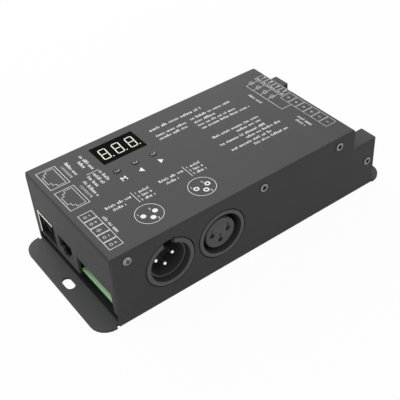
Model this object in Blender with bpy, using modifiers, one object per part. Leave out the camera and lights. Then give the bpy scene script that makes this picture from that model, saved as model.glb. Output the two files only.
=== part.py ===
"""DMX decoder for lighting: a folded steel tray and lid with XLR, RJ45 and screw connections.

The origin is the centre of the underside. X runs from the data end to the power end,
Y from the XLR side to the back, Z up.
"""
import math

import bmesh
import bpy
from mathutils import Matrix, Vector

MM = 0.001

# Case
BODY_LENGTH = 144 * MM
LID_LENGTH = 130 * MM
BODY_WIDTH = 70.5 * MM
BODY_HEIGHT = 39 * MM
STEP_HEIGHT = 28 * MM
SHEET = 1.2 * MM
BEND_RADIUS = 0.5 * MM
EAR_REACH = 9.75 * MM
EAR_SIDE_INSET = 0.4 * MM
EAR_CORNER_RADIUS = 8 * MM
EAR_RELIEF = 1.3 * MM
LID_CORNER_RADIUS = 0.9 * MM
SLOT_WIDTH = 4.3 * MM
SLOT_LENGTH = 7.8 * MM
SLOT_END_FLAT = 0.01 * MM
SLOT_TO_EAR_EDGE = 4.95 * MM
DATA_WALL_LOWER_EDGE = 6.4 * MM
FIT = 0.3 * MM

# Case screws, measured from the data end, the lid's far end and the power end
SCREW_DROP = 4.9 * MM
SCREW_FROM_DATA_END = 7.5 * MM
SCREW_AT_MIDDLE = 76.2 * MM
SCREW_FROM_LID_END = 9.9 * MM
SCREW_FROM_POWER_END = 4.8 * MM
STEP_SCREW_HEIGHT = 16.6 * MM
CASE_SHANK_RADIUS = 1.0 * MM
PAN_HEAD_RADIUS = 2.05 * MM
PAN_HEAD_HEIGHT = 0.8 * MM
SOCKET_HEAD_RADIUS = 1.7 * MM
SOCKET_HEAD_HEIGHT = 0.65 * MM
CASE_SCREW_LENGTH = 4 * MM
SOCKET_RADIUS = 0.85 * MM
CROSS_REACH = 1.15 * MM
CROSS_WIDTH = 0.5 * MM
RECESS_FLOOR_SHARE = 0.35
TAB_WIDTH = 9 * MM
TAB_BELOW_SCREW = 3.6 * MM
TAB_CORNER_RADIUS = 2 * MM

# Boards
STANDOFF_LENGTH = 5 * MM
STANDOFF_ACROSS_FLATS = 5 * MM
BOARD_THICKNESS = 1.6 * MM
BOARD_MARGIN = 0.6 * MM
BOARD_SHANK_RADIUS = 1.25 * MM
BOARD_HEAD_RADIUS = 2.6 * MM
BOARD_HEAD_HEIGHT = 1.7 * MM
BOARD_SCREW_LENGTH = 5.2 * MM
BOARD_CROSS_REACH = 1.5 * MM
BOARD_CROSS_WIDTH = 0.6 * MM
BOARD_CORNER_RADIUS = 1 * MM
STANDOFF_FROM_DATA_END = 24 * MM
STANDOFF_BEHIND_XLR = 29 * MM
STANDOFF_FROM_LID_END = 6 * MM
STANDOFF_FROM_SIDE = 6.5 * MM
FILM_THICKNESS = 0.25 * MM

# XLR connectors, measured from the data end and from the board
MALE_XLR_AT = 27 * MM
FEMALE_XLR_AT = 53.5 * MM
XLR_ABOVE_BOARD = 13.2 * MM
RING_RADIUS = 11.7 * MM
CUP_RADIUS = 9.55 * MM
RING_STANDS_OUT = 0.3 * MM
RING_CHAMFER = 0.35 * MM
FLANGE_SIDE = 25.8 * MM
FLANGE_THICKNESS = 3 * MM
FLANGE_CORNER_RADIUS = 2 * MM
CUP_DEPTH = 15 * MM
XLR_DEPTH = 22 * MM
XLR_FOOT_WIDTH = 20 * MM
KEY_GAP_WIDTH = 4.9 * MM
KEY_GAP_DEPTH = 7 * MM
KEY_NOTCH_WIDTH = 0.9 * MM
KEY_NOTCH_RISE = 1 * MM
CONTACT_CIRCLE = 4.2 * MM
XLR_PIN_RADIUS = 1.15 * MM
MALE_PIN_TIP_DEPTH = 4.7 * MM
MALE_BASE_THICKNESS = 3 * MM
LINER_RADIUS = 8.45 * MM
LINER_DEPTH = 2.4 * MM
FEMALE_FACE_RADIUS = 7.6 * MM
FEMALE_FACE_DEPTH = 1.7 * MM
FEMALE_BASE_THICKNESS = 3 * MM
FEMALE_HOLE_RADIUS = 1.15 * MM
FEMALE_HOLE_DEPTH = 9 * MM
FEMALE_FACE_ROUNDING = 0.4 * MM
LEAD_IN = 0.4 * MM

# RJ45 jacks, measured from the back wall and the board
JACK_WIDTH = 15.7 * MM
JACK_HEIGHT = 12.4 * MM
JACK_LENGTH = 20 * MM
JACK_STANDS_OUT = 0.3 * MM
JACK_FROM_BACK = 12.5 * MM
JACK_PITCH = 16.1 * MM
SHIELD_THICKNESS = 0.3 * MM
MOUTH_WIDTH = 11.7 * MM
MOUTH_HEIGHT = 6.6 * MM
MOUTH_ABOVE_BOARD = 4.1 * MM
MOUTH_DEPTH = 13 * MM
LATCH_WIDTH = 6 * MM
LATCH_HEIGHT = 1.6 * MM
LATCH_INNER_WIDTH = 4 * MM
LATCH_INNER_HEIGHT = 1.2 * MM

# Five-way plug-in header
HEADER_WAYS = 5
HEADER_PITCH = 5.08 * MM
HEADER_WALL = 1 * MM
HEADER_HEIGHT = 8.5 * MM
HEADER_DEPTH = 12 * MM
HEADER_CAVITY_DEPTH = 8.6 * MM
HEADER_FROM_FRONT = 4.25 * MM
HEADER_RECESS = 1.5 * MM
HEADER_PIN = 1 * MM
HEADER_PIN_TIP_DEPTH = 4.9 * MM
HEADER_KEY_WIDTH = 1.6 * MM
PIN_BELOW_BOARD = 1.2 * MM

# Ten-way power terminal
POWER_WAYS = 10
POWER_PITCH = 5.08 * MM
TERMINAL_DEPTH = 12 * MM
TERMINAL_HEIGHT = 14 * MM
TERMINAL_SIDE_CLEARANCE = 0.85 * MM
TERMINAL_NOSE = 3.4 * MM
WIRE_ENTRY_WIDTH = 3.8 * MM
WIRE_ENTRY_HEIGHT = 4.4 * MM
WIRE_ENTRY_LIFT = 1.6 * MM
WIRE_ENTRY_DEPTH = 8.5 * MM
CLAMP_FROM_FACE = 5.8 * MM
CLAMP_HEAD_RADIUS = 1.7 * MM
CLAMP_HEAD_HEIGHT = 1.8 * MM
CLAMP_HEAD_DEPTH = 1.6 * MM
CLAMP_SHANK_RADIUS = 1.15 * MM
CLAMP_LENGTH = 7.6 * MM
CLAMP_CHAMFER = 0.25 * MM
CLAMP_SLOT_WIDTH = 0.6 * MM

# Display and buttons, measured from the data end and the front
DISPLAY_LENGTH = 22.4 * MM
DISPLAY_WIDTH = 13.9 * MM
DISPLAY_HEIGHT = 7 * MM
DISPLAY_AT = 40.8 * MM
DISPLAY_FROM_FRONT = 58.9 * MM
WINDOW_CLEARANCE = 0.15 * MM
DISPLAY_RECESS = 0.3 * MM
BUTTON_PITCH = 9.36 * MM
BUTTON_FROM_FRONT = 44.55 * MM
BUTTON_RADIUS = 1.3 * MM
BUTTON_HOLE_RADIUS = 1.65 * MM
BUTTON_DOME = 0.5 * MM
BUTTON_TRAVEL = 0.3 * MM
SWITCH_SIDE = 6 * MM
SWITCH_HEIGHT = 3.5 * MM
SWITCH_FLOOR = 0.6 * MM
SWITCH_CORNER_RADIUS = 0.6 * MM
DISPLAY_BOARD_SIDE_MARGIN = 4.8 * MM
DISPLAY_BOARD_FRONT_MARGIN = 2.45 * MM
DISPLAY_BOARD_BACK_MARGIN = 2.25 * MM
LINK_WAYS = 8
LINK_PITCH = 2.54 * MM
LINK_PIN = 0.64 * MM
LINK_STRIP = 2.5 * MM
LINK_INSET = 1.35 * MM

# Capacitors, measured from the data end and the front
CAPACITOR_RADIUS = 5 * MM
CAPACITOR_HEIGHT = 16 * MM
CAPACITOR_NECK = 2.2 * MM
CAPACITOR_GROOVE = 0.5 * MM
CAPACITOR_PLACES = ((92 * MM, 21 * MM), (105 * MM, 21 * MM))

# Half the diagonal of a square, as a share of its side
HALF_DIAGONAL = math.sqrt(0.5)

# Sides of the round shapes
LARGE_ROUND = 40
MEDIUM_ROUND = 18
SMALL_ROUND = 12
TINY_ROUND = 8
CORNER_STEPS = 5

# Levels and faces that follow
DATA_END = -BODY_LENGTH / 2
POWER_END = BODY_LENGTH / 2
FRONT = -BODY_WIDTH / 2
BACK = BODY_WIDTH / 2
LID_END = DATA_END + LID_LENGTH
INNER_SIDE = BODY_WIDTH / 2 - SHEET
LID_UNDERSIDE = BODY_HEIGHT - SHEET
WALL_TOP = LID_UNDERSIDE - FIT
STEP_UNDERSIDE = STEP_HEIGHT - SHEET
STEP_WALL_TOP = STEP_UNDERSIDE - FIT
BOARD_UNDERSIDE = SHEET + STANDOFF_LENGTH
BOARD_TOP = BOARD_UNDERSIDE + BOARD_THICKNESS
ON_BOARD = BOARD_TOP + FIT
XLR_HEIGHT = BOARD_TOP + XLR_ABOVE_BOARD
HEADER_CAVITY = HEADER_WAYS * HEADER_PITCH
HEADER_WIDTH = HEADER_CAVITY + 2 * HEADER_WALL
HEADER_CENTRE = FRONT + HEADER_FROM_FRONT + HEADER_WIDTH / 2
TERMINAL_WIDTH = POWER_WAYS * POWER_PITCH
TERMINAL_OPENING = TERMINAL_WIDTH + 2 * TERMINAL_SIDE_CLEARANCE
TERMINAL_START = LID_END + 2 * FIT
TERMINAL_FACE = TERMINAL_START + TERMINAL_DEPTH
TERMINAL_TOP = ON_BOARD + TERMINAL_HEIGHT
SCREW_HEIGHT = BODY_HEIGHT - SCREW_DROP
DISPLAY_FACE = BODY_HEIGHT - DISPLAY_RECESS
DISPLAY_BOARD_TOP = DISPLAY_FACE - DISPLAY_HEIGHT - FIT
DISPLAY_BOARD_UNDERSIDE = DISPLAY_BOARD_TOP - BOARD_THICKNESS
DISPLAY_X = DATA_END + DISPLAY_AT
DISPLAY_Y = FRONT + DISPLAY_FROM_FRONT
BUTTON_Y = FRONT + BUTTON_FROM_FRONT
DISPLAY_BOARD_BACK = DISPLAY_Y + DISPLAY_WIDTH / 2 + DISPLAY_BOARD_BACK_MARGIN
DISPLAY_BOARD_FRONT = BUTTON_Y - SWITCH_SIDE / 2 - DISPLAY_BOARD_FRONT_MARGIN
BUTTONS = (("menu", -BUTTON_PITCH), ("left", 0.0), ("right", BUTTON_PITCH))
LINK_Y = DISPLAY_BOARD_BACK - LINK_INSET
JACKS = (("rear", BACK - JACK_FROM_BACK, True), ("front", BACK - JACK_FROM_BACK - JACK_PITCH, False))
SIDES = (("front", -1), ("back", 1))
STANDOFF_PLACES = (
    (DATA_END + STANDOFF_FROM_DATA_END, FRONT + STANDOFF_BEHIND_XLR),
    (DATA_END + STANDOFF_FROM_DATA_END, BACK - STANDOFF_FROM_SIDE),
    (LID_END - STANDOFF_FROM_LID_END, FRONT + STANDOFF_FROM_SIDE),
    (LID_END - STANDOFF_FROM_LID_END, BACK - STANDOFF_FROM_SIDE),
)

# Colour, roughness and metallic value of each finish
FINISHES = {
    "dark_powder_coat": ((0.058, 0.058, 0.060), 0.55, 0.0),
    "zinc_plate": ((0.55, 0.55, 0.54), 0.35, 1.0),
    "nickel_plate": ((0.72, 0.71, 0.68), 0.22, 1.0),
    "grey_cast_zinc": ((0.10, 0.10, 0.105), 0.45, 0.0),
    "black_plastic": ((0.012, 0.012, 0.012), 0.4, 0.0),
    "green_plastic": ((0.16, 0.42, 0.15), 0.45, 0.0),
    "board_green": ((0.015, 0.11, 0.04), 0.4, 0.0),
    "black_film": ((0.012, 0.012, 0.012), 0.5, 0.0),
    "grey_plastic": ((0.16, 0.16, 0.165), 0.4, 0.0),
}


def clear_scene():
    """Removes every object of the start-up scene."""
    for obj in list(bpy.data.objects):
        bpy.data.objects.remove(obj, do_unlink=True)


def collection(name, shown):
    """Makes a collection, hidden from renders when it holds cutters."""
    made = bpy.data.collections.new(name)
    made.hide_render = not shown
    bpy.context.scene.collection.children.link(made)
    return made


def finish(name):
    """Finds or makes the Principled material of a finish."""
    found = bpy.data.materials.get(name)
    if found:
        return found
    colour, roughness, metallic = FINISHES[name]
    made = bpy.data.materials.new(name)
    made.use_nodes = True
    shader = made.node_tree.nodes["Principled BSDF"]
    shader.inputs["Base Color"].default_value = (*colour, 1.0)
    shader.inputs["Roughness"].default_value = roughness
    shader.inputs["Metallic"].default_value = metallic
    made.diffuse_color = (*colour, 1.0)
    return made


def tidy(value):
    """Rounds a length to a nanometre, so that faces meant to line up share one value."""
    return round(value, 9)


def place_object(name, mesh, finish_name=None):
    """Puts a mesh in the scene as a piece, or as a cutter when it has no finish."""
    obj = bpy.data.objects.new(name, mesh)
    if finish_name:
        PIECES.objects.link(obj)
        mesh.materials.append(finish(finish_name))
        mesh.shade_smooth()
        mesh.set_sharp_from_angle(angle=math.radians(30))
    else:
        CUTTERS.objects.link(obj)
        obj.hide_render = True
        obj.display_type = "WIRE"
    return obj


def from_bmesh(name, shape, finish_name=None):
    """Turns a bmesh into an object."""
    mesh = bpy.data.meshes.new(name)
    shape.to_mesh(mesh)
    shape.free()
    return place_object(name, mesh, finish_name)


def add_box(shape, low, high):
    """Adds a box between two corners."""
    made = bmesh.ops.create_cube(shape, size=1.0)
    for vertex in made["verts"]:
        for axis in range(3):
            vertex.co[axis] = tidy(high[axis] if vertex.co[axis] > 0 else low[axis])
    return made["verts"]


def add_rod(shape, axis, centre, radius, low, high, sides=SMALL_ROUND, end_radius=None):
    """Adds a cylinder or cone along an axis, round a centre given in the other two axes."""
    turn = {
        "X": Matrix.Rotation(math.radians(90), 4, "Y"),
        "Y": Matrix.Rotation(math.radians(-90), 4, "X"),
        "Z": Matrix.Identity(4),
    }[axis]
    along = "XYZ".index(axis)
    middle = Vector(centre)
    middle.resize(2)
    place = list(middle)
    place.insert(along, (low + high) / 2)
    made = bmesh.ops.create_cone(
        shape,
        cap_ends=True,
        segments=sides,
        radius1=radius,
        radius2=radius if end_radius is None else end_radius,
        depth=high - low,
        matrix=Matrix.Translation(place) @ turn,
    )
    return made["verts"]


def box(name, low, high, finish_name=None):
    """Makes a box as one object."""
    shape = bmesh.new()
    add_box(shape, low, high)
    return from_bmesh(name, shape, finish_name)


def boxes(name, corners):
    """Makes one cutter of several boxes that don't touch."""
    shape = bmesh.new()
    for low, high in corners:
        add_box(shape, low, high)
    return from_bmesh(name, shape)


def rods(name, axis, centres, radius, low, high, sides=SMALL_ROUND):
    """Makes one cutter of several cylinders that don't touch."""
    shape = bmesh.new()
    for centre in centres:
        add_rod(shape, axis, centre, radius, low, high, sides)
    return from_bmesh(name, shape)


def rounded_outline(corners, radius, steps=6):
    """Rounds every corner of a closed outline. A corner may give its own radius as a third number."""
    points = []
    count = len(corners)
    for index in range(count):
        here = Vector(corners[index][:2])
        before = Vector(corners[index - 1][:2])
        after = Vector(corners[(index + 1) % count][:2])
        size = corners[index][2] if len(corners[index]) > 2 else radius
        if size == 0:
            points.append((tidy(here.x), tidy(here.y)))
            continue
        points += fillet(before, here, after, size, steps)
    return points


def fillet(before, here, after, radius, steps):
    """Points of the arc that rounds the corner between two straight runs."""
    arrive = (here - before).normalized()
    leave = (after - here).normalized()
    turn = math.atan2(arrive.cross(leave), arrive.dot(leave))
    side = 1 if turn > 0 else -1
    inward = Vector((-arrive.y, arrive.x)) * side
    centre = here - arrive * (radius * math.tan(abs(turn) / 2)) + inward * radius
    points = []
    for step in range(steps + 1):
        spoke = Matrix.Rotation(turn * step / steps, 2) @ inward
        point = centre - spoke * radius
        points.append((tidy(point.x), tidy(point.y)))
    return points


def folded_outline(path, thickness, radius, steps=4):
    """Closed outline of a folded sheet. One face follows the path and the sheet lies to its right."""
    near = [path[0]]
    far = []
    for index, point in enumerate(path):
        here = Vector(point)
        arrive = (here - Vector(path[index - 1])).normalized() if index else None
        leave = (Vector(path[index + 1]) - here).normalized() if index + 1 < len(path) else None
        run = arrive or leave
        right = Vector((run.y, -run.x))
        if arrive is None or leave is None:
            far.append(here + right * thickness)
            continue
        turn = math.atan2(arrive.cross(leave), arrive.dot(leave))
        side = 1 if turn > 0 else -1
        inward = -right * side
        path_radius = radius if side > 0 else radius + thickness
        far_radius = path_radius + thickness * side
        centre = here - arrive * (path_radius * math.tan(abs(turn) / 2)) + inward * path_radius
        for step in range(steps + 1):
            spoke = Matrix.Rotation(turn * step / steps, 2) @ inward
            near.append(centre - spoke * path_radius)
            far.append(centre - spoke * far_radius)
    near.append(path[-1])
    return [(tidy(x), tidy(y)) for x, y in near + far[::-1]]


def prism(name, outline, axis, low, high, finish_name=None):
    """Extrudes a flat outline along an axis. The outline is in the other two axes, in their order."""
    curve = bpy.data.curves.new(name, "CURVE")
    curve.dimensions = "2D"
    curve.fill_mode = "BOTH"
    curve.extrude = (high - low) / 2
    spline = curve.splines.new("POLY")
    spline.points.add(len(outline) - 1)
    for point, (across, up) in zip(spline.points, outline):
        point.co = (across, up, 0.0, 1.0)
    spline.use_cyclic_u = True
    flat = bpy.data.objects.new(name + "_outline", curve)
    bpy.context.scene.collection.objects.link(flat)
    bpy.context.view_layer.update()
    graph = bpy.context.evaluated_depsgraph_get()
    mesh = bpy.data.meshes.new_from_object(flat.evaluated_get(graph))
    bpy.data.objects.remove(flat, do_unlink=True)
    bpy.data.curves.remove(curve)
    shape = bmesh.new()
    shape.from_mesh(mesh)
    bpy.data.meshes.remove(mesh)
    bmesh.ops.remove_doubles(shape, verts=shape.verts, dist=1e-6)
    # Each end becomes one flat face, because the curve's fill can hold triangles of no width.
    ends = [face for face in shape.faces if len({tidy(vertex.co.z) for vertex in face.verts}) == 1]
    bmesh.ops.delete(shape, geom=ends, context="FACES")
    bmesh.ops.edgeloop_fill(shape, edges=[edge for edge in shape.edges if edge.is_boundary])
    for vertex in shape.verts:
        across, up, level = vertex.co
        level = tidy(high if level > 0 else low)
        vertex.co = {
            "X": (level, across, up),
            "Y": (across, level, up),
            "Z": (across, up, level),
        }[axis]
    bmesh.ops.recalc_face_normals(shape, faces=shape.faces)
    if shape.calc_volume(signed=True) < 0:
        bmesh.ops.reverse_faces(shape, faces=shape.faces)
    return from_bmesh(name, shape, finish_name)


def turned(name, profile, finish_name, sides, place, facing="Z"):
    """Turns a profile of (radius, height) round an axis that points the way the piece faces."""
    shape = bmesh.new()
    points = [shape.verts.new((radius, 0.0, height)) for radius, height in profile]
    for first, second in zip(points, points[1:]):
        shape.edges.new((first, second))
    if profile[0][0] > 0:
        shape.edges.new((points[-1], points[0]))
    obj = from_bmesh(name, shape, finish_name)
    screw = obj.modifiers.new("turn", "SCREW")
    screw.axis = "Z"
    screw.steps = sides
    screw.render_steps = sides
    screw.use_merge_vertices = True
    screw.merge_threshold = 0.000001
    screw.use_smooth_shade = True
    obj.location = place
    obj.rotation_euler = {
        "Z": (0, 0, 0),
        "-Y": (math.radians(90), 0, 0),
        "Y": (math.radians(-90), 0, 0),
    }[facing]
    return obj


def cut(obj, *cutters):
    """Takes cutters away from a piece."""
    for cutter in cutters:
        modifier = obj.modifiers.new("cut_" + cutter.name, "BOOLEAN")
        modifier.operation = "DIFFERENCE"
        modifier.solver = "EXACT"
        modifier.object = cutter


def join(obj, *others):
    """Adds overlapping shapes to a piece."""
    for other in others:
        modifier = obj.modifiers.new("join_" + other.name, "BOOLEAN")
        modifier.operation = "UNION"
        modifier.solver = "EXACT"
        modifier.object = other


def spaced(count, pitch, centre=0.0):
    """Centres of a row of equal steps."""
    return [centre + (index - (count - 1) / 2) * pitch for index in range(count)]


def wall_screws():
    """Name, place along X, height and head of the case screws of one side."""
    return (
        ("corner", DATA_END + SCREW_FROM_DATA_END, SCREW_HEIGHT, "pan"),
        ("middle", DATA_END + SCREW_AT_MIDDLE, SCREW_HEIGHT, "socket"),
        ("far", LID_END - SCREW_FROM_LID_END, SCREW_HEIGHT, "socket"),
        ("step", POWER_END - SCREW_FROM_POWER_END, STEP_SCREW_HEIGHT, "socket"),
    )


def contact_places(centre_x):
    """Centres of the three XLR contacts: one at each side and one below."""
    return (
        (centre_x + CONTACT_CIRCLE, XLR_HEIGHT),
        (centre_x - CONTACT_CIRCLE, XLR_HEIGHT),
        (centre_x, XLR_HEIGHT - CONTACT_CIRCLE),
    )


def make_tray():
    """Bottom, ears, long walls and data wall, folded from one sheet."""
    section = folded_outline(
        [(BACK, WALL_TOP), (BACK, 0.0), (FRONT, 0.0), (FRONT, WALL_TOP)], SHEET, BEND_RADIUS
    )
    tray = prism("base_tray", section, "X", DATA_END, POWER_END, "dark_powder_coat")
    over_step = (LID_END - SHEET - FIT, FRONT - SHEET, STEP_WALL_TOP)
    beyond = (POWER_END + SHEET, BACK + SHEET, BODY_HEIGHT)
    cut(tray, box("step_in_long_walls", over_step, beyond))
    for end, sign in (("data", -1), ("power", 1)):
        join(tray, make_ear(end, sign))
        cut(tray, make_ear_slot(end, sign))
    corner = SHEET + BEND_RADIUS
    corner_low = (DATA_END - SHEET, FRONT - SHEET, DATA_WALL_LOWER_EDGE)
    corner_high = (DATA_END + corner, FRONT + 2 * corner, BODY_HEIGHT)
    cut(tray, box("room_for_data_wall_fold", corner_low, corner_high))
    overlap = DATA_END + 2 * corner
    wall_path = [(overlap, FRONT), (DATA_END, FRONT), (DATA_END, BACK - SHEET - FIT)]
    wall_outline = folded_outline(wall_path, SHEET, BEND_RADIUS)
    data_wall = prism("data_wall", wall_outline, "Z", DATA_WALL_LOWER_EDGE, WALL_TOP)
    join(tray, data_wall)
    cut(tray, *data_wall_openings(), *long_wall_holes())
    return tray


def make_ear(end, sign):
    """Mounting ear: a rounded plate with a bend relief at each root corner."""
    neck = INNER_SIDE - BEND_RADIUS
    side = BODY_WIDTH / 2 - EAR_SIDE_INSET
    inside = sign * (BODY_LENGTH / 2 - EAR_RELIEF)
    relief = sign * (BODY_LENGTH / 2 + EAR_RELIEF)
    edge = sign * (BODY_LENGTH / 2 + EAR_REACH)
    corners = [
        (inside, -neck, 0),
        (relief, -neck, 0),
        (relief, -side, 0),
        (edge, -side, EAR_CORNER_RADIUS),
        (edge, side, EAR_CORNER_RADIUS),
        (relief, side, 0),
        (relief, neck, 0),
        (inside, neck, 0),
    ]
    return prism(f"{end}_ear", rounded_outline(corners, 0), "Z", 0.0, SHEET)


def make_ear_slot(end, sign):
    """Cutter for the fixing slot of an ear."""
    middle = sign * (BODY_LENGTH / 2 + EAR_REACH - SLOT_TO_EAR_EDGE)
    corners = rectangle(middle, 0.0, SLOT_WIDTH, SLOT_LENGTH)
    outline = rounded_outline(corners, SLOT_WIDTH / 2 - SLOT_END_FLAT)
    return prism(f"{end}_ear_slot", outline, "Z", -SHEET, 2 * SHEET)


def rectangle(centre_across, centre_up, width, height):
    """Corners of a rectangle, anticlockwise."""
    return [
        (centre_across - width / 2, centre_up - height / 2),
        (centre_across + width / 2, centre_up - height / 2),
        (centre_across + width / 2, centre_up + height / 2),
        (centre_across - width / 2, centre_up + height / 2),
    ]


def data_wall_openings():
    """Cutters for the two jack windows and the header window."""
    near = DATA_END - SHEET
    far = DATA_END + 2 * SHEET
    windows = []
    for label, centre, has_face in JACKS:
        outline = face_outline(centre, FIT) if has_face else mouth_outline(centre, 0.0)
        windows.append(prism(f"{label}_jack_window", outline, "X", near, far))
    half = HEADER_WIDTH / 2 + FIT
    top = ON_BOARD + HEADER_HEIGHT + FIT
    low = (near, HEADER_CENTRE - half, DATA_WALL_LOWER_EDGE - SHEET)
    windows.append(box("header_window", low, (far, HEADER_CENTRE + half, top)))
    return windows


def long_wall_holes():
    """Cutters for the connector rings and the case screws."""
    ring_places = [(DATA_END + at, XLR_HEIGHT) for at in (MALE_XLR_AT, FEMALE_XLR_AT)]
    through = (FRONT - SHEET, FRONT + 2 * SHEET)
    rings = rods("ring_holes", "Y", ring_places, RING_RADIUS + FIT, *through, LARGE_ROUND)
    notch_start = DATA_END + MALE_XLR_AT + KEY_GAP_WIDTH / 2 - FIT
    notch_low = (notch_start, FRONT - SHEET, XLR_HEIGHT + RING_RADIUS - SHEET)
    notch_top = XLR_HEIGHT + RING_RADIUS + KEY_NOTCH_RISE
    notch_high = (notch_start + KEY_NOTCH_WIDTH, FRONT + 2 * SHEET, notch_top)
    screw_places = [(x, z) for _, x, z, _ in wall_screws()]
    radius = CASE_SHANK_RADIUS + FIT
    front = rods("front_screw_holes", "Y", screw_places, radius, *through)
    back = rods("back_screw_holes", "Y", screw_places, radius, BACK - 2 * SHEET, BACK + SHEET)
    return rings, box("ring_key_notch", notch_low, notch_high), front, back


def make_lid():
    """Top plate with the stepped power end, the step flanges and the screw tabs."""
    path = [
        (DATA_END, BODY_HEIGHT),
        (LID_END, BODY_HEIGHT),
        (LID_END, STEP_HEIGHT),
        (POWER_END, STEP_HEIGHT),
    ]
    lid = prism("top_lid", folded_outline(path, SHEET, BEND_RADIUS), "Y", FRONT, BACK, "dark_powder_coat")
    half_opening = TERMINAL_OPENING / 2
    opening_low = (LID_END, -half_opening, STEP_UNDERSIDE - 2 * SHEET)
    opening_high = (POWER_END + SHEET, half_opening, STEP_HEIGHT + 2 * SHEET)
    cut(lid, box("opening_over_terminal", opening_low, opening_high))
    wall_low = (LID_END - SHEET, -half_opening + FIT, TERMINAL_TOP + FIT)
    wall_high = (LID_END, half_opening - FIT, STEP_HEIGHT + 2 * SHEET)
    join(lid, box("wall_behind_terminal", wall_low, wall_high))
    for side, sign in SIDES:
        flange, board_room = make_step_flange(side, sign)
        cut(flange, board_room)
        join(lid, flange)
        for label, x, z, _ in wall_screws()[:3]:
            join(lid, make_tab(f"{side}_{label}_tab", sign, x, z))
    cut(lid, *lid_openings(), *(lid_corner(side, sign) for side, sign in SIDES))
    return lid


def lid_corner(side, sign):
    """Cutter that rounds a corner of the lid's data end, over the bend of the wall below."""
    radius = LID_CORNER_RADIUS
    edge = sign * BODY_WIDTH / 2
    outline = [(DATA_END - SHEET, edge + sign * SHEET), (DATA_END + radius, edge + sign * SHEET)]
    for step in range(CORNER_STEPS + 1):
        angle = math.radians(90 * step / CORNER_STEPS)
        outline.append(
            (
                tidy(DATA_END + radius * (1 - math.sin(angle))),
                tidy(edge - sign * radius * (1 - math.cos(angle))),
            )
        )
    outline.append((DATA_END - SHEET, tidy(edge - sign * radius)))
    return prism(f"{side}_lid_corner", outline, "Z", LID_UNDERSIDE - SHEET, BODY_HEIGHT + SHEET)


def make_step_flange(side, sign):
    """End flange of a step, folded back along the long wall, and the room that the board needs in it."""
    outer = INNER_SIDE - FIT
    path = [(POWER_END, -TERMINAL_OPENING / 2), (POWER_END, -outer), (LID_END + 2 * SHEET, -outer)]
    outline = [(x, -sign * y) for x, y in folded_outline(path, SHEET, BEND_RADIUS)]
    bottom = SHEET + FIT
    flange = prism(f"{side}_step_flange", outline, "Z", bottom, STEP_UNDERSIDE + SHEET / 2)
    inner = outer - SHEET - BEND_RADIUS
    room = sorted((sign * inner, sign * BODY_WIDTH / 2))
    low = (LID_END, room[0], 0.0)
    high = (POWER_END + SHEET, room[1], ON_BOARD + FIT)
    return flange, box(f"{side}_board_corner", low, high)


def make_tab(name, sign, x, z):
    """Tab that hangs from the top plate behind a long wall and takes a case screw."""
    bottom = z - TAB_BELOW_SCREW
    top = BODY_HEIGHT - SHEET / 2
    radius = TAB_CORNER_RADIUS
    corners = [
        (x - TAB_WIDTH / 2, bottom, radius),
        (x + TAB_WIDTH / 2, bottom, radius),
        (x + TAB_WIDTH / 2, top, 0),
        (x - TAB_WIDTH / 2, top, 0),
    ]
    faces = sorted((sign * (INNER_SIDE - FIT), sign * (INNER_SIDE - FIT - SHEET)))
    return prism(name, rounded_outline(corners, 0, 4), "Y", faces[0], faces[1])


def lid_openings():
    """Cutters for the display window, the button holes and the screws in the tabs and flanges."""
    half_length = DISPLAY_LENGTH / 2 + WINDOW_CLEARANCE
    half_width = DISPLAY_WIDTH / 2 + WINDOW_CLEARANCE
    low = (DISPLAY_X - half_length, DISPLAY_Y - half_width, LID_UNDERSIDE - SHEET)
    high = (DISPLAY_X + half_length, DISPLAY_Y + half_width, BODY_HEIGHT + SHEET)
    window = box("display_window", low, high)
    places = [(DISPLAY_X + offset, BUTTON_Y) for _, offset in BUTTONS]
    through = (LID_UNDERSIDE - SHEET, BODY_HEIGHT + SHEET)
    buttons = rods("button_holes", "Z", places, BUTTON_HOLE_RADIUS, *through, MEDIUM_ROUND)
    screw_places = [(x, z) for _, x, z, _ in wall_screws()]
    radius = CASE_SHANK_RADIUS + FIT
    reach = INNER_SIDE - 3 * SHEET
    front = rods("front_tab_holes", "Y", screw_places, radius, FRONT, -reach)
    back = rods("back_tab_holes", "Y", screw_places, radius, reach, BACK)
    return window, buttons, front, back


def head_profile(radius, height, underside, shank_radius, shank_end):
    """Profile of a rounded head on a plain shank, from the top of the head down."""
    points = [(0.0, underside + height)]
    for step in range(3):
        angle = math.radians(90 * (step + 1) / 3)
        spread = radius * (0.45 + 0.55 * math.sin(angle))
        drop = height * 0.65 * (1 - math.cos(angle))
        points.append((tidy(spread), tidy(underside + height - drop)))
    points.append((radius, underside))
    points.append((shank_radius, underside))
    points.append((shank_radius, shank_end))
    points.append((0.0, shank_end))
    return points


def cross_outline(reach, width, turn=math.radians(20)):
    """Outline of a cross-shaped driver recess, turned a little as a driven screw is."""
    half = width / 2
    arm = [(half, -half), (reach, -half), (reach, half)]
    points = []
    for quarter in range(4):
        spin = Matrix.Rotation(turn + quarter * math.pi / 2, 2)
        points += [spin @ Vector(corner) for corner in arm]
    return [(tidy(x), tidy(y)) for x, y in points]


def ring_of_points(count, radius):
    """Corners of a regular outline."""
    return [
        (tidy(radius * math.cos(2 * math.pi * k / count)), tidy(radius * math.sin(2 * math.pi * k / count)))
        for k in range(count)
    ]


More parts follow.
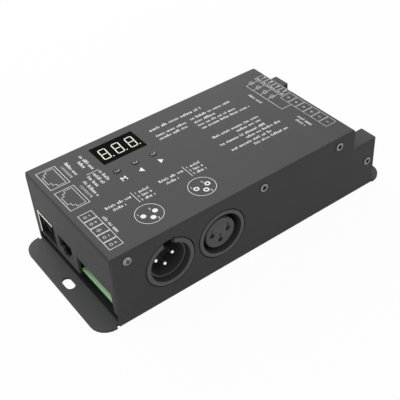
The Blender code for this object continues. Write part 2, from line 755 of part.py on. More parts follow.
def make_case_screws():
    """The four screws of each long wall, the corner one with the larger head."""
    for side, sign in SIDES:
        for label, x, z, head in wall_screws():
            name = f"{side}_{label}_screw"
            radius, height = PAN_HEAD_RADIUS, PAN_HEAD_HEIGHT
            if head == "socket":
                radius, height = SOCKET_HEAD_RADIUS, SOCKET_HEAD_HEIGHT
            underside = FIT / 2
            profile = head_profile(radius, height, underside, CASE_SHANK_RADIUS, -CASE_SCREW_LENGTH)
            place = (x, sign * BODY_WIDTH / 2, z)
            facing = "Y" if sign > 0 else "-Y"
            screw = turned(name, profile, "zinc_plate", SMALL_ROUND, place, facing)
            floor = underside + height * RECESS_FLOOR_SHARE
            outline = cross_outline(CROSS_REACH, CROSS_WIDTH)
            if head == "socket":
                outline = ring_of_points(6, SOCKET_RADIUS)
            recess = prism(name + "_recess", outline, "Z", floor, underside + 2 * height)
            recess.location = screw.location
            recess.rotation_euler = screw.rotation_euler
            cut(screw, recess)


def make_boards():
    """Main board, display board, the film under the main board, and the standoffs and screws."""
    length = (DATA_END + SHEET + BOARD_MARGIN, POWER_END - SHEET - FIT)
    half_width = INNER_SIDE - BOARD_MARGIN
    near, far = length
    corners = [(near, -half_width), (far, -half_width), (far, half_width), (near, half_width)]
    outline = rounded_outline(corners, BOARD_CORNER_RADIUS, 3)
    board = prism("main_board", outline, "Z", BOARD_UNDERSIDE, BOARD_TOP, "board_green")
    through = (BOARD_UNDERSIDE - SHEET, BOARD_TOP + SHEET)
    screw_holes = rods("board_screw_holes", "Z", STANDOFF_PLACES, BOARD_SHANK_RADIUS + FIT, *through)
    header_places = [(header_leg_x(), y) for y in spaced(HEADER_WAYS, HEADER_PITCH, HEADER_CENTRE)]
    header_radius = HEADER_PIN * HALF_DIAGONAL + FIT
    header_holes = rods("header_pin_holes", "Z", header_places, header_radius, *through, TINY_ROUND)
    link_places = [(x, LINK_Y) for x in spaced(LINK_WAYS, LINK_PITCH, DISPLAY_X)]
    link_radius = LINK_PIN * HALF_DIAGONAL + FIT
    link_holes = rods("link_holes_low", "Z", link_places, link_radius, *through, TINY_ROUND)
    cut(board, screw_holes, header_holes, link_holes)

    half_length = DISPLAY_LENGTH / 2 + DISPLAY_BOARD_SIDE_MARGIN
    upper_low = (DISPLAY_X - half_length, DISPLAY_BOARD_FRONT, DISPLAY_BOARD_UNDERSIDE)
    upper_high = (DISPLAY_X + half_length, DISPLAY_BOARD_BACK, DISPLAY_BOARD_TOP)
    upper = box("display_board", upper_low, upper_high, "board_green")
    upper_through = (DISPLAY_BOARD_UNDERSIDE - SHEET, DISPLAY_BOARD_TOP + SHEET)
    cut(upper, rods("link_holes_high", "Z", link_places, link_radius, *upper_through, TINY_ROUND))

    edge = INNER_SIDE - 2 * BEND_RADIUS
    film = box(
        "insulating_film",
        (DATA_END + FIT, -edge, SHEET + FIT),
        (POWER_END - 2 * SHEET, edge, SHEET + FIT + FILM_THICKNESS),
        "black_film",
    )
    corner_radius = STANDOFF_ACROSS_FLATS / math.sqrt(3)
    cut(film, rods("film_holes", "Z", STANDOFF_PLACES, corner_radius + FIT, 0.0, BOARD_UNDERSIDE))

    for index, (x, y) in enumerate(STANDOFF_PLACES, 1):
        hexagon = [(x + across, y + up) for across, up in ring_of_points(6, corner_radius)]
        standoff = prism(
            f"board_standoff_{index}", hexagon, "Z", SHEET + FIT, BOARD_UNDERSIDE - FIT, "nickel_plate"
        )
        bore = rods(f"standoff_bore_{index}", "Z", [(x, y)], BOARD_SHANK_RADIUS + FIT, 0.0, BOARD_TOP)
        cut(standoff, bore)
        profile = head_profile(
            BOARD_HEAD_RADIUS, BOARD_HEAD_HEIGHT, 0.0, BOARD_SHANK_RADIUS, -BOARD_SCREW_LENGTH
        )
        screw = turned(f"board_screw_{index}", profile, "zinc_plate", SMALL_ROUND, (x, y, ON_BOARD))
        recess_floor = ON_BOARD + BOARD_HEAD_HEIGHT / 3
        arms = cross_outline(BOARD_CROSS_REACH, BOARD_CROSS_WIDTH)
        cross = [(x + across, y + up) for across, up in arms]
        recess_top = ON_BOARD + 2 * BOARD_HEAD_HEIGHT
        cut(screw, prism(f"board_screw_recess_{index}", cross, "Z", recess_floor, recess_top))


def connector_housing(name, at):
    """Shell of an XLR connector: ring, cup, panel flange and the foot that stands on the board."""
    profile = [
        (0.0, -CUP_DEPTH),
        (CUP_RADIUS, -CUP_DEPTH),
        (CUP_RADIUS, RING_STANDS_OUT - RING_CHAMFER),
        (CUP_RADIUS + RING_CHAMFER, RING_STANDS_OUT),
        (RING_RADIUS - RING_CHAMFER, RING_STANDS_OUT),
        (RING_RADIUS, RING_STANDS_OUT - RING_CHAMFER),
        (RING_RADIUS, -XLR_DEPTH),
        (0.0, -XLR_DEPTH),
    ]
    x = DATA_END + at
    housing = turned(name, profile, "grey_cast_zinc", LARGE_ROUND, (x, FRONT, XLR_HEIGHT), "-Y")
    half = FLANGE_SIDE / 2
    square = rounded_outline(
        [
            (x - half, ON_BOARD),
            (x + half, ON_BOARD),
            (x + half, XLR_HEIGHT + half),
            (x - half, XLR_HEIGHT + half),
        ],
        FLANGE_CORNER_RADIUS,
        4,
    )
    flange_front = FRONT + SHEET + FIT
    flange = prism(name + "_flange", square, "Y", flange_front, flange_front + FLANGE_THICKNESS)
    bore = ("Y", [(x, XLR_HEIGHT)], CUP_RADIUS + FIT, FRONT, BACK, LARGE_ROUND)
    cut(flange, rods(name + "_flange_bore", *bore))
    foot_low = (x - XLR_FOOT_WIDTH / 2, flange_front + FLANGE_THICKNESS / 2, ON_BOARD)
    foot_high = (x + XLR_FOOT_WIDTH / 2, FRONT + XLR_DEPTH - SHEET, XLR_HEIGHT - CUP_RADIUS / 2)
    foot = box(name + "_foot", foot_low, foot_high)
    cut(foot, rods(name + "_foot_bore", *bore))
    join(housing, flange, foot)
    return housing


def make_male_connector():
    """Male XLR: keyed ring, liner with its floor, and three pins."""
    x = DATA_END + MALE_XLR_AT
    housing = connector_housing("male_xlr_housing", MALE_XLR_AT)
    key_low = (x - KEY_GAP_WIDTH / 2, FRONT - SHEET, XLR_HEIGHT + CUP_RADIUS - SHEET)
    key_high = (x + KEY_GAP_WIDTH / 2, FRONT + KEY_GAP_DEPTH, XLR_HEIGHT + RING_RADIUS + FIT)
    cut(housing, box("male_ring_key_gap", key_low, key_high))
    floor_bottom = -CUP_DEPTH + FIT
    floor_top = floor_bottom + MALE_BASE_THICKNESS
    outer = CUP_RADIUS - FIT
    profile = [
        (0.0, floor_top),
        (LINER_RADIUS, floor_top),
        (LINER_RADIUS, -LINER_DEPTH),
        (outer, -LINER_DEPTH),
        (outer, floor_bottom),
        (0.0, floor_bottom),
    ]
    liner = turned("male_xlr_insert", profile, "black_plastic", LARGE_ROUND, (x, FRONT, XLR_HEIGHT), "-Y")
    places = contact_places(x)
    holes = rods("male_pin_holes", "Y", places, XLR_PIN_RADIUS + FIT, FRONT, FRONT + CUP_DEPTH)
    cut(liner, holes)
    for index, (pin_x, pin_z) in enumerate(places, 1):
        tip = -MALE_PIN_TIP_DEPTH
        pin = [(0.0, tip)]
        for step in range(1, 5):
            angle = math.radians(90 * step / 4)
            pin.append(
                (
                    tidy(XLR_PIN_RADIUS * math.sin(angle)),
                    tidy(tip - XLR_PIN_RADIUS * (1 - math.cos(angle))),
                )
            )
        pin += [(XLR_PIN_RADIUS, floor_bottom), (0.0, floor_bottom)]
        turned(f"male_xlr_pin_{index}", pin, "nickel_plate", SMALL_ROUND, (pin_x, FRONT, pin_z), "-Y")


def make_female_connector():
    """Female XLR: plain ring and an insert whose face has three contact holes."""
    x = DATA_END + FEMALE_XLR_AT
    connector_housing("female_xlr_housing", FEMALE_XLR_AT)
    base_bottom = -CUP_DEPTH + FIT
    base_top = base_bottom + FEMALE_BASE_THICKNESS
    outer = CUP_RADIUS - FIT
    rounding = FEMALE_FACE_ROUNDING
    profile = [
        (0.0, -FEMALE_FACE_DEPTH),
        (FEMALE_FACE_RADIUS - rounding, -FEMALE_FACE_DEPTH),
        (FEMALE_FACE_RADIUS, -FEMALE_FACE_DEPTH - rounding),
        (FEMALE_FACE_RADIUS, base_top),
        (outer, base_top),
        (outer, base_bottom),
        (0.0, base_bottom),
    ]
    insert = turned("female_xlr_insert", profile, "grey_plastic", LARGE_ROUND, (x, FRONT, XLR_HEIGHT), "-Y")
    far = FRONT + FEMALE_FACE_DEPTH + FEMALE_HOLE_DEPTH
    places = contact_places(x)
    cut(insert, rods("female_contact_holes", "Y", places, FEMALE_HOLE_RADIUS, FRONT, far))
    cut(insert, lead_ins(places))


def lead_ins(places):
    """Cutter that widens the mouth of each contact hole."""
    shape = bmesh.new()
    face = FRONT + FEMALE_FACE_DEPTH
    for x, z in places:
        wide = FEMALE_HOLE_RADIUS + 2 * LEAD_IN
        add_rod(shape, "Y", (x, z), wide, face - LEAD_IN, face + LEAD_IN, SMALL_ROUND, FEMALE_HOLE_RADIUS)
    return from_bmesh("contact_hole_lead_ins", shape)


def mouth_outline(centre_y, clearance):
    """Outline of a jack's mouth with the stepped latch slot below it."""
    bottom = BOARD_TOP + MOUTH_ABOVE_BOARD
    first = bottom - LATCH_HEIGHT
    second = first - LATCH_INNER_HEIGHT
    half = MOUTH_WIDTH / 2 + clearance
    wide = LATCH_WIDTH / 2 + clearance
    narrow = LATCH_INNER_WIDTH / 2 + clearance
    offsets = [
        (-half, bottom - clearance),
        (-wide, bottom - clearance),
        (-wide, first - clearance),
        (-narrow, first - clearance),
        (-narrow, second - clearance),
        (narrow, second - clearance),
        (narrow, first - clearance),
        (wide, first - clearance),
        (wide, bottom - clearance),
        (half, bottom - clearance),
        (half, bottom + MOUTH_HEIGHT + clearance),
        (-half, bottom + MOUTH_HEIGHT + clearance),
    ]
    return [(tidy(centre_y + across), tidy(up)) for across, up in offsets]


def face_outline(centre_y, clearance):
    """Outline of the part of a shield's face that shows in the wall: above the mouth and behind it."""
    near = centre_y - MOUTH_WIDTH / 2 - SHIELD_THICKNESS - clearance
    far = centre_y + JACK_WIDTH / 2 + clearance
    bottom = ON_BOARD - clearance
    top = ON_BOARD + JACK_HEIGHT + clearance
    return [(tidy(y), tidy(z)) for y, z in ((near, bottom), (far, bottom), (far, top), (near, top))]


def make_jack(label, centre_y, has_face):
    """Shielded RJ45 jack: a moulded insert in a shield that is open below.

    The rear jack's shield has a face that passes through the wall, and the front jack's stays behind it.
    """
    rim = DATA_END - JACK_STANDS_OUT
    front = DATA_END + SHEET + FIT
    back = rim + JACK_LENGTH
    half = JACK_WIDTH / 2
    top = ON_BOARD + JACK_HEIGHT
    wall = SHIELD_THICKNESS
    low = (front, centre_y - half, ON_BOARD)
    shield = box(f"{label}_jack_shield", low, (back, centre_y + half, top), "nickel_plate")
    hollow_low = (front + wall, centre_y - half + wall, BOARD_TOP - wall)
    hollow_high = (back - wall, centre_y + half - wall, top - wall)
    cut(shield, box(f"{label}_shield_hollow", hollow_low, hollow_high))
    if has_face:
        outline = face_outline(centre_y, 0.0)
        join(shield, prism(f"{label}_shield_face", outline, "X", rim, front + wall / 2))
    mouth = mouth_outline(centre_y, 0.0)
    cut(shield, prism(f"{label}_shield_mouth", mouth, "X", rim - SHEET, front + 3 * wall))

    space = wall + FIT
    insert = box(
        f"{label}_jack_insert",
        (front + space, centre_y - half + space, ON_BOARD),
        (back - space, centre_y + half - space, top - space),
        "black_plastic",
    )
    cut(insert, prism(f"{label}_insert_mouth", mouth, "X", front - SHEET, rim + MOUTH_DEPTH))


def header_leg_x():
    """Centre line of the header pins' legs, behind the header."""
    return DATA_END + HEADER_RECESS + HEADER_DEPTH + FIT + HEADER_PIN / 2


def make_header():
    """Five-way plug-in header with its key slots and bent pins."""
    front = DATA_END + HEADER_RECESS
    back = front + HEADER_DEPTH
    half = HEADER_WIDTH / 2
    top = ON_BOARD + HEADER_HEIGHT
    header_low = (front, HEADER_CENTRE - half, ON_BOARD)
    header = box("signal_header", header_low, (back, HEADER_CENTRE + half, top), "green_plastic")
    cavity_half = HEADER_CAVITY / 2
    low = (front - SHEET, HEADER_CENTRE - cavity_half, ON_BOARD + HEADER_WALL)
    high = (front + HEADER_CAVITY_DEPTH, HEADER_CENTRE + cavity_half, top - HEADER_WALL)
    cut(header, box("header_cavity", low, high))
    centres = spaced(HEADER_WAYS, HEADER_PITCH, HEADER_CENTRE)
    slots = []
    for y in centres:
        slot_low = (front - SHEET, y - HEADER_KEY_WIDTH / 2, top - 2 * HEADER_WALL)
        slot_high = (front + HEADER_CAVITY_DEPTH / 2, y + HEADER_KEY_WIDTH / 2, top + HEADER_WALL)
        slots.append((slot_low, slot_high))
    cut(header, boxes("header_key_slots", slots))
    level = ON_BOARD + HEADER_HEIGHT / 2
    half_pin = HEADER_PIN / 2
    bore = half_pin + FIT
    bore_start = front + HEADER_CAVITY_DEPTH - SHEET
    bores = []
    for y in centres:
        bores.append(((bore_start, y - bore, level - bore), (back + SHEET, y + bore, level + bore)))
    cut(header, boxes("header_pin_bores", bores))
    leg = header_leg_x()
    outline = [
        (front + HEADER_PIN_TIP_DEPTH, level - half_pin),
        (leg - half_pin, level - half_pin),
        (leg - half_pin, BOARD_UNDERSIDE - PIN_BELOW_BOARD),
        (leg + half_pin, BOARD_UNDERSIDE - PIN_BELOW_BOARD),
        (leg + half_pin, level + half_pin),
        (front + HEADER_PIN_TIP_DEPTH, level + half_pin),
    ]
    outline = [(tidy(across), tidy(up)) for across, up in outline]
    for index, y in enumerate(centres, 1):
        prism(f"signal_pin_{index}", outline, "Y", y - half_pin, y + half_pin, "nickel_plate")


def make_terminal():
    """Ten-way screw terminal between the two steps, with its clamp screws."""
    start = TERMINAL_START
    top = TERMINAL_TOP
    profile = [
        (start, ON_BOARD),
        (TERMINAL_FACE, ON_BOARD),
        (TERMINAL_FACE, top - 2 * TERMINAL_NOSE / 3),
        (TERMINAL_FACE - TERMINAL_NOSE, top),
        (start, top),
    ]
    profile = [(tidy(across), tidy(up)) for across, up in profile]
    half = TERMINAL_WIDTH / 2
    terminal = prism("power_terminal", profile, "Y", -half, half, "green_plastic")
    centres = spaced(POWER_WAYS, POWER_PITCH)
    entry_floor = ON_BOARD + WIRE_ENTRY_LIFT
    entry_top = entry_floor + WIRE_ENTRY_HEIGHT
    entries = [
        (
            (TERMINAL_FACE - WIRE_ENTRY_DEPTH, y - WIRE_ENTRY_WIDTH / 2, entry_floor),
            (TERMINAL_FACE + SHEET, y + WIRE_ENTRY_WIDTH / 2, entry_top),
        )
        for y in centres
    ]
    clamp_x = TERMINAL_FACE - CLAMP_FROM_FACE
    places = [(clamp_x, y) for y in centres]
    seat = top - CLAMP_HEAD_DEPTH - CLAMP_HEAD_HEIGHT - FIT
    heads = rods("clamp_head_holes", "Z", places, CLAMP_HEAD_RADIUS + FIT, seat, top + SHEET)
    shank_ends = (entry_top - FIT, seat + FIT)
    shanks = rods("clamp_shank_holes", "Z", places, CLAMP_SHANK_RADIUS + FIT, *shank_ends, TINY_ROUND)
    cut(terminal, boxes("wire_entries", entries), heads, shanks)

    head_top = top - CLAMP_HEAD_DEPTH
    chamfer = CLAMP_CHAMFER
    half_slot = CLAMP_SLOT_WIDTH / 2
    for index, y in enumerate(centres, 1):
        profile = [
            (0.0, 0.0),
            (CLAMP_HEAD_RADIUS - chamfer, 0.0),
            (CLAMP_HEAD_RADIUS, -chamfer),
            (CLAMP_HEAD_RADIUS, -CLAMP_HEAD_HEIGHT),
            (CLAMP_SHANK_RADIUS, -CLAMP_HEAD_HEIGHT),
            (CLAMP_SHANK_RADIUS, -CLAMP_LENGTH),
            (0.0, -CLAMP_LENGTH),
        ]
        place = (clamp_x, y, head_top)
        screw = turned(f"clamp_screw_{index:02d}", profile, "zinc_plate", SMALL_ROUND, place)
        slot_low = (clamp_x - 2 * CLAMP_HEAD_RADIUS, y - half_slot, head_top - CLAMP_HEAD_HEIGHT / 2)
        slot_high = (clamp_x + 2 * CLAMP_HEAD_RADIUS, y + half_slot, head_top + SHEET)
        cut(screw, box(f"clamp_slot_{index:02d}", slot_low, slot_high))


def make_display():
    """Three-digit display module and the pin link between the two boards."""
    low = (DISPLAY_X - DISPLAY_LENGTH / 2, DISPLAY_Y - DISPLAY_WIDTH / 2, DISPLAY_BOARD_TOP + FIT)
    high = (DISPLAY_X + DISPLAY_LENGTH / 2, DISPLAY_Y + DISPLAY_WIDTH / 2, DISPLAY_FACE)
    box("display_module", low, high, "black_plastic")
    half_length = LINK_WAYS * LINK_PITCH / 2
    near = (DISPLAY_X - half_length, LINK_Y - LINK_STRIP / 2)
    far = (DISPLAY_X + half_length, LINK_Y + LINK_STRIP / 2)
    under_board = DISPLAY_BOARD_UNDERSIDE - FIT
    levels = ((ON_BOARD, ON_BOARD + LINK_STRIP), (under_board - LINK_STRIP, under_board))
    strip = boxes("board_link", [((*near, bottom), (*far, top)) for bottom, top in levels])
    link = show(strip, "black_plastic")
    half = LINK_PIN / 2
    pins = [
        (
            (x - half, LINK_Y - half, BOARD_UNDERSIDE - PIN_BELOW_BOARD),
            (x + half, LINK_Y + half, DISPLAY_BOARD_TOP + PIN_BELOW_BOARD),
        )
        for x in spaced(LINK_WAYS, LINK_PITCH, DISPLAY_X)
    ]
    join(link, boxes("link_pins", pins))


def show(obj, finish_name):
    """Turns a cutter into a piece."""
    CUTTERS.objects.unlink(obj)
    PIECES.objects.link(obj)
    obj.data.materials.append(finish(finish_name))
    obj.hide_render = False
    obj.display_type = "TEXTURED"
    return obj


def make_buttons():
    """Push buttons that reach through the lid, each in its switch on the display board."""
    floor = DISPLAY_BOARD_TOP + FIT
    bore_floor = floor + SWITCH_FLOOR
    for label, offset in BUTTONS:
        x = DISPLAY_X + offset
        half = SWITCH_SIDE / 2
        corners = rectangle(x, BUTTON_Y, SWITCH_SIDE, SWITCH_SIDE)
        outline = rounded_outline(corners, SWITCH_CORNER_RADIUS, 2)
        switch = prism(f"{label}_switch", outline, "Z", floor, floor + SWITCH_HEIGHT, "black_plastic")
        bore_radius = BUTTON_RADIUS + FIT
        bore = rods(
            f"{label}_switch_bore", "Z", [(x, BUTTON_Y)], bore_radius, bore_floor, BODY_HEIGHT, MEDIUM_ROUND
        )
        cut(switch, bore)
        bottom = bore_floor + BUTTON_TRAVEL + FIT - BODY_HEIGHT
        profile = [(0.0, 0.0)]
        for step in range(1, 5):
            angle = math.radians(90 * step / 4)
            profile.append(
                (tidy(BUTTON_RADIUS * math.sin(angle)), tidy(-BUTTON_DOME * (1 - math.cos(angle))))
            )
        profile += [(BUTTON_RADIUS, bottom), (0.0, bottom)]
        turned(f"{label}_button", profile, "grey_plastic", MEDIUM_ROUND, (x, BUTTON_Y, BODY_HEIGHT))


def make_capacitors():
    """Two upright electrolytic capacitors with a crimped neck."""
    radius = CAPACITOR_RADIUS
    height = CAPACITOR_HEIGHT
    groove = CAPACITOR_GROOVE
    neck = CAPACITOR_NECK
    for index, (from_end, from_front) in enumerate(CAPACITOR_PLACES, 1):
        profile = [
            (0.0, height - groove / 2),
            (radius - 2 * groove, height - groove / 2),
            (radius - groove, height),
            (radius, height - groove),
            (radius, neck + groove),
            (radius - groove, neck),
            (radius, neck - groove),
            (radius, groove),
            (radius - groove, 0.0),
            (0.0, 0.0),
        ]
        place = (DATA_END + from_end, FRONT + from_front, ON_BOARD)
        turned(f"capacitor_{index}", profile, "black_plastic", MEDIUM_ROUND, place)


clear_scene()
PIECES = collection("dmx_decoder", True)
CUTTERS = collection("cutters", False)
make_tray()
make_lid()
make_case_screws()
make_boards()
make_male_connector()
make_female_connector()
for jack_label, jack_y, jack_has_face in JACKS:
    make_jack(jack_label, jack_y, jack_has_face)
make_header()
make_terminal()
make_display()
make_buttons()
make_capacitors()
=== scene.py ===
"""Looks of the DMX decoder: its finishes, printing, display, connectors, boards, light and camera.

Everything is in metres in the frame's own axes: X from the data end to the power end, Y from the
XLR side to the back, Z up from the underside of the tray.
"""
import logging
import math
import random
from collections.abc import Callable, Iterable, Sequence
from dataclasses import dataclass, field
from enum import Enum

import bmesh
import bpy
from bpy.types import ID, Material, Mesh, Node, NodeTree, Object
from bpy.types import NodeSocket as Socket
from bpy.types import bpy_prop_collection as Collection
from mathutils import Matrix, Vector


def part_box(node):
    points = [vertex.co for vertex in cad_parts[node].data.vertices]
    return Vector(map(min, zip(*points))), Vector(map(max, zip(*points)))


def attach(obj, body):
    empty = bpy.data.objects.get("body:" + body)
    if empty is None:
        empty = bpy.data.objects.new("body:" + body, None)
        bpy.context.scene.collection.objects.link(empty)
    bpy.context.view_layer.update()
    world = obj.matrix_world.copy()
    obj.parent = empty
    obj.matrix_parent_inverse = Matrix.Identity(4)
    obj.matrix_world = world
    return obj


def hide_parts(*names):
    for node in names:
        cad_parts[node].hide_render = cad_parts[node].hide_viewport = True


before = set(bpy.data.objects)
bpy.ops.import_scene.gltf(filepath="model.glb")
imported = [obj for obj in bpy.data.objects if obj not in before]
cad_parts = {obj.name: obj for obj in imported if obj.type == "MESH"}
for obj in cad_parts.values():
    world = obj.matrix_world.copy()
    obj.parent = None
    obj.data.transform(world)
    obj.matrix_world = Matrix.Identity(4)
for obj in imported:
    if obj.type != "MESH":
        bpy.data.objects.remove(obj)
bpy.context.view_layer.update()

LOG = logging.getLogger("dmx_decoder")

Colour = tuple[float, float, float]
Point = tuple[float, float]
Place = tuple[float, float, float]

MM = 0.001
WELD = 0.002 * MM
CUT_PAST = 1.0 * MM
XLR_FLANGE = 25.8 * MM
CAPITAL_TO_SIZE = 1.43
ROUND_SHADING = 30.0
SOFT_SHADING = 35.0
FLAT_ANGLE = 1.0
EASED_ANGLE = 50.0
EASED_SEGMENTS = 2
EDGE_MARK = "eased_edge"
ORIGIN: Place = (0.0, 0.0, 0.0)
WHITE = (1.0, 1.0, 1.0, 1.0)
BLACK = (0.0, 0.0, 0.0, 1.0)
FULL: Point = (0.0, 1.0)
NOISE_MIDDLE: Point = (0.3, 0.7)
WORN_PATCHES: Point = (0.42, 0.62)
WORN_SHARE: Point = (0.25, 1.0)
GLOW_DEPTH = 1.5 * MM


class Slot(Enum):
    """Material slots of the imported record."""

    POWDER_COAT = "powder_coat"
    ZINC = "zinc"
    NICKEL = "nickel"
    GREY_SHELL = "grey_shell"
    BLACK_PLASTIC = "black_plastic"
    GREY_PLASTIC = "grey_plastic"
    GREEN_PLASTIC = "green_plastic"
    BOARD = "board"
    FILM = "film"
    DISPLAY_BLACK = "display_black"


class Facing(Enum):
    """Which way a turned piece points, as its turn about X in degrees."""

    UP = 0.0
    FRONT = 90.0
    BACK = -90.0


# Shader node groups


class NodeDesk:
    """Adds and links nodes in one shader or geometry tree."""

    def __init__(self, tree: NodeTree) -> None:
        """Keeps the tree."""
        self.tree = tree

    def feed(self, target: Socket, value: object) -> None:
        """Joins an output to an input, or else gives the input a constant.

        Args:
            target: the input.
            value: a socket or a constant.
        """
        if isinstance(value, Socket):
            self.tree.links.new(value, target)
        else:
            target.default_value = value

    def add(self, kind: str, inputs: dict[str, object] | None = None, **settings: object) -> Node:
        """Adds a node.

        Args:
            kind: Blender's name of the node type.
            inputs: a socket or a constant for each input, by name.
            settings: properties of the node.

        Returns:
            The new node.
        """
        node = self.tree.nodes.new(kind)
        for name, value in settings.items():
            setattr(node, name, value)
        for name, value in (inputs or {}).items():
            self.feed(node.inputs[name], value)
        return node

    def math(self, operation: str, first: object, second: object) -> Socket:
        """Adds a math node.

        Args:
            operation: Blender's name of the operation.
            first: a socket or a number.
            second: a socket or a number.

        Returns:
            The result's socket.
        """
        node = self.add("ShaderNodeMath", operation=operation)
        for target, value in zip(node.inputs, (first, second)):
            self.feed(target, value)
        return node.outputs[0]

    def noise(self, vector: Socket, scale: object, detail: float) -> Socket:
        """Adds a noise and gives its value."""
        inputs = {"Vector": vector, "Scale": scale, "Detail": detail}
        return self.add("ShaderNodeTexNoise", inputs).outputs["Fac"]

    def spread(self, value: Socket, source: Point, target: Point, smooth: bool = False) -> Socket:
        """Maps one range to another, held at its ends.

        Args:
            value: what is mapped.
            source: low and high of the value.
            target: low and high of the result.
            smooth: whether the ramp eases at its ends.

        Returns:
            The result's socket.
        """
        names = ("Value", "From Min", "From Max", "To Min", "To Max")
        inputs = dict(zip(names, (value, *source, *target)))
        kind = "SMOOTHSTEP" if smooth else "LINEAR"
        return self.add("ShaderNodeMapRange", inputs, interpolation_type=kind).outputs["Result"]

    def blend(self, share: Socket, first: object, second: object) -> Socket:
        """Mixes two colours.

        Args:
            share: how much of the second colour shows.
            first: a socket or a colour.
            second: a socket or a colour.

        Returns:
            The colour's socket.
        """
        node = self.add("ShaderNodeMix", {"Factor": share}, data_type="RGBA")
        ends = [socket for socket in node.inputs if socket.type == "RGBA"]
        for target, value in zip(ends, (first, second)):
            self.feed(target, value if isinstance(value, Socket) else (*value, 1.0))
        return next(socket for socket in node.outputs if socket.type == "RGBA")


def cleared(owner: ID) -> NodeDesk:
    """Empties the node tree of a material or a world.

    Args:
        owner: the material or world.

    Returns:
        A desk on its tree.
    """
    owner.use_nodes = True
    owner.node_tree.nodes.clear()
    return NodeDesk(owner.node_tree)


def new_group(
    name: str, inputs: dict[str, str], outputs: dict[str, str], kind: str = "ShaderNodeTree"
) -> tuple[NodeDesk, Collection, Collection]:
    """Starts a node group.

    Args:
        name: name of the group.
        inputs: kind of socket by name.
        outputs: kind of socket by name.
        kind: Blender's name of the tree type.

    Returns:
        A desk on the group, the sockets that it is given and the sockets that it fills.
    """
    tree = bpy.data.node_groups.new(name, kind)
    for way, sockets in (("INPUT", inputs), ("OUTPUT", outputs)):
        for label, socket in sockets.items():
            tree.interface.new_socket(name=label, in_out=way, socket_type="NodeSocket" + socket)
    desk = NodeDesk(tree)
    return desk, desk.add("NodeGroupInput").outputs, desk.add("NodeGroupOutput").inputs


def make_surface_grain() -> NodeTree:
    """Builds the fine grain and the slow clouds that every finish has.

    Returns:
        A group with inputs Vector, Grain and Cloud (per metre) and outputs Height, Grain and Cloud.
    """
    inputs = {"Vector": "Vector", "Grain": "Float", "Cloud": "Float"}
    outputs = dict.fromkeys(("Height", "Grain", "Cloud"), "Float")
    desk, given, filled = new_group("surface_grain", inputs, outputs)
    fine = desk.noise(given["Vector"], given["Grain"], detail=2.0)
    slow = desk.noise(given["Vector"], given["Cloud"], detail=3.0)
    desk.feed(filled["Height"], fine)
    desk.feed(filled["Grain"], desk.spread(fine, NOISE_MIDDLE, FULL))
    desk.feed(filled["Cloud"], desk.spread(slow, NOISE_MIDDLE, FULL, smooth=True))
    return desk.tree


def make_edge_wear_and_sheen() -> NodeTree:
    """Builds the mask of lighter eased edges: thin, rubbed coating and partly painted highlight.

    Returns:
        A group with inputs Vector, Patch (per metre) and Amount, and the output Mask.
    """
    inputs = {"Vector": "Vector", "Patch": "Float", "Amount": "Float"}
    desk, given, filled = new_group("edge_wear_and_sheen", inputs, {"Mask": "Float"})
    edge = desk.add("ShaderNodeAttribute", attribute_name=EDGE_MARK).outputs["Fac"]
    clouds = desk.noise(given["Vector"], given["Patch"], detail=4.0)
    patches = desk.spread(clouds, WORN_PATCHES, WORN_SHARE)
    worn = desk.math("MULTIPLY", edge, patches)
    desk.feed(filled["Mask"], desk.math("MULTIPLY", worn, given["Amount"]))
    return desk.tree


def make_drawn_lines() -> NodeTree:
    """Builds the fine parallel lines of drawn or rolled metal.

    Returns:
        A group with inputs Vector and Lines (a scale by axis), and the output Mask.
    """
    inputs = {"Vector": "Vector", "Lines": "Vector"}
    desk, given, filled = new_group("drawn_lines", inputs, {"Mask": "Float"})
    stretched = desk.add("ShaderNodeVectorMath", operation="MULTIPLY")
    for target, name in zip(stretched.inputs, inputs):
        desk.feed(target, given[name])
    lines = desk.noise(stretched.outputs["Vector"], scale=1.0, detail=3.0)
    desk.feed(filled["Mask"], desk.spread(lines, NOISE_MIDDLE, FULL))
    return desk.tree


SURFACE_GRAIN = make_surface_grain()
EDGE_WEAR_AND_SHEEN = make_edge_wear_and_sheen()
DRAWN_LINES = make_drawn_lines()


# Finishes


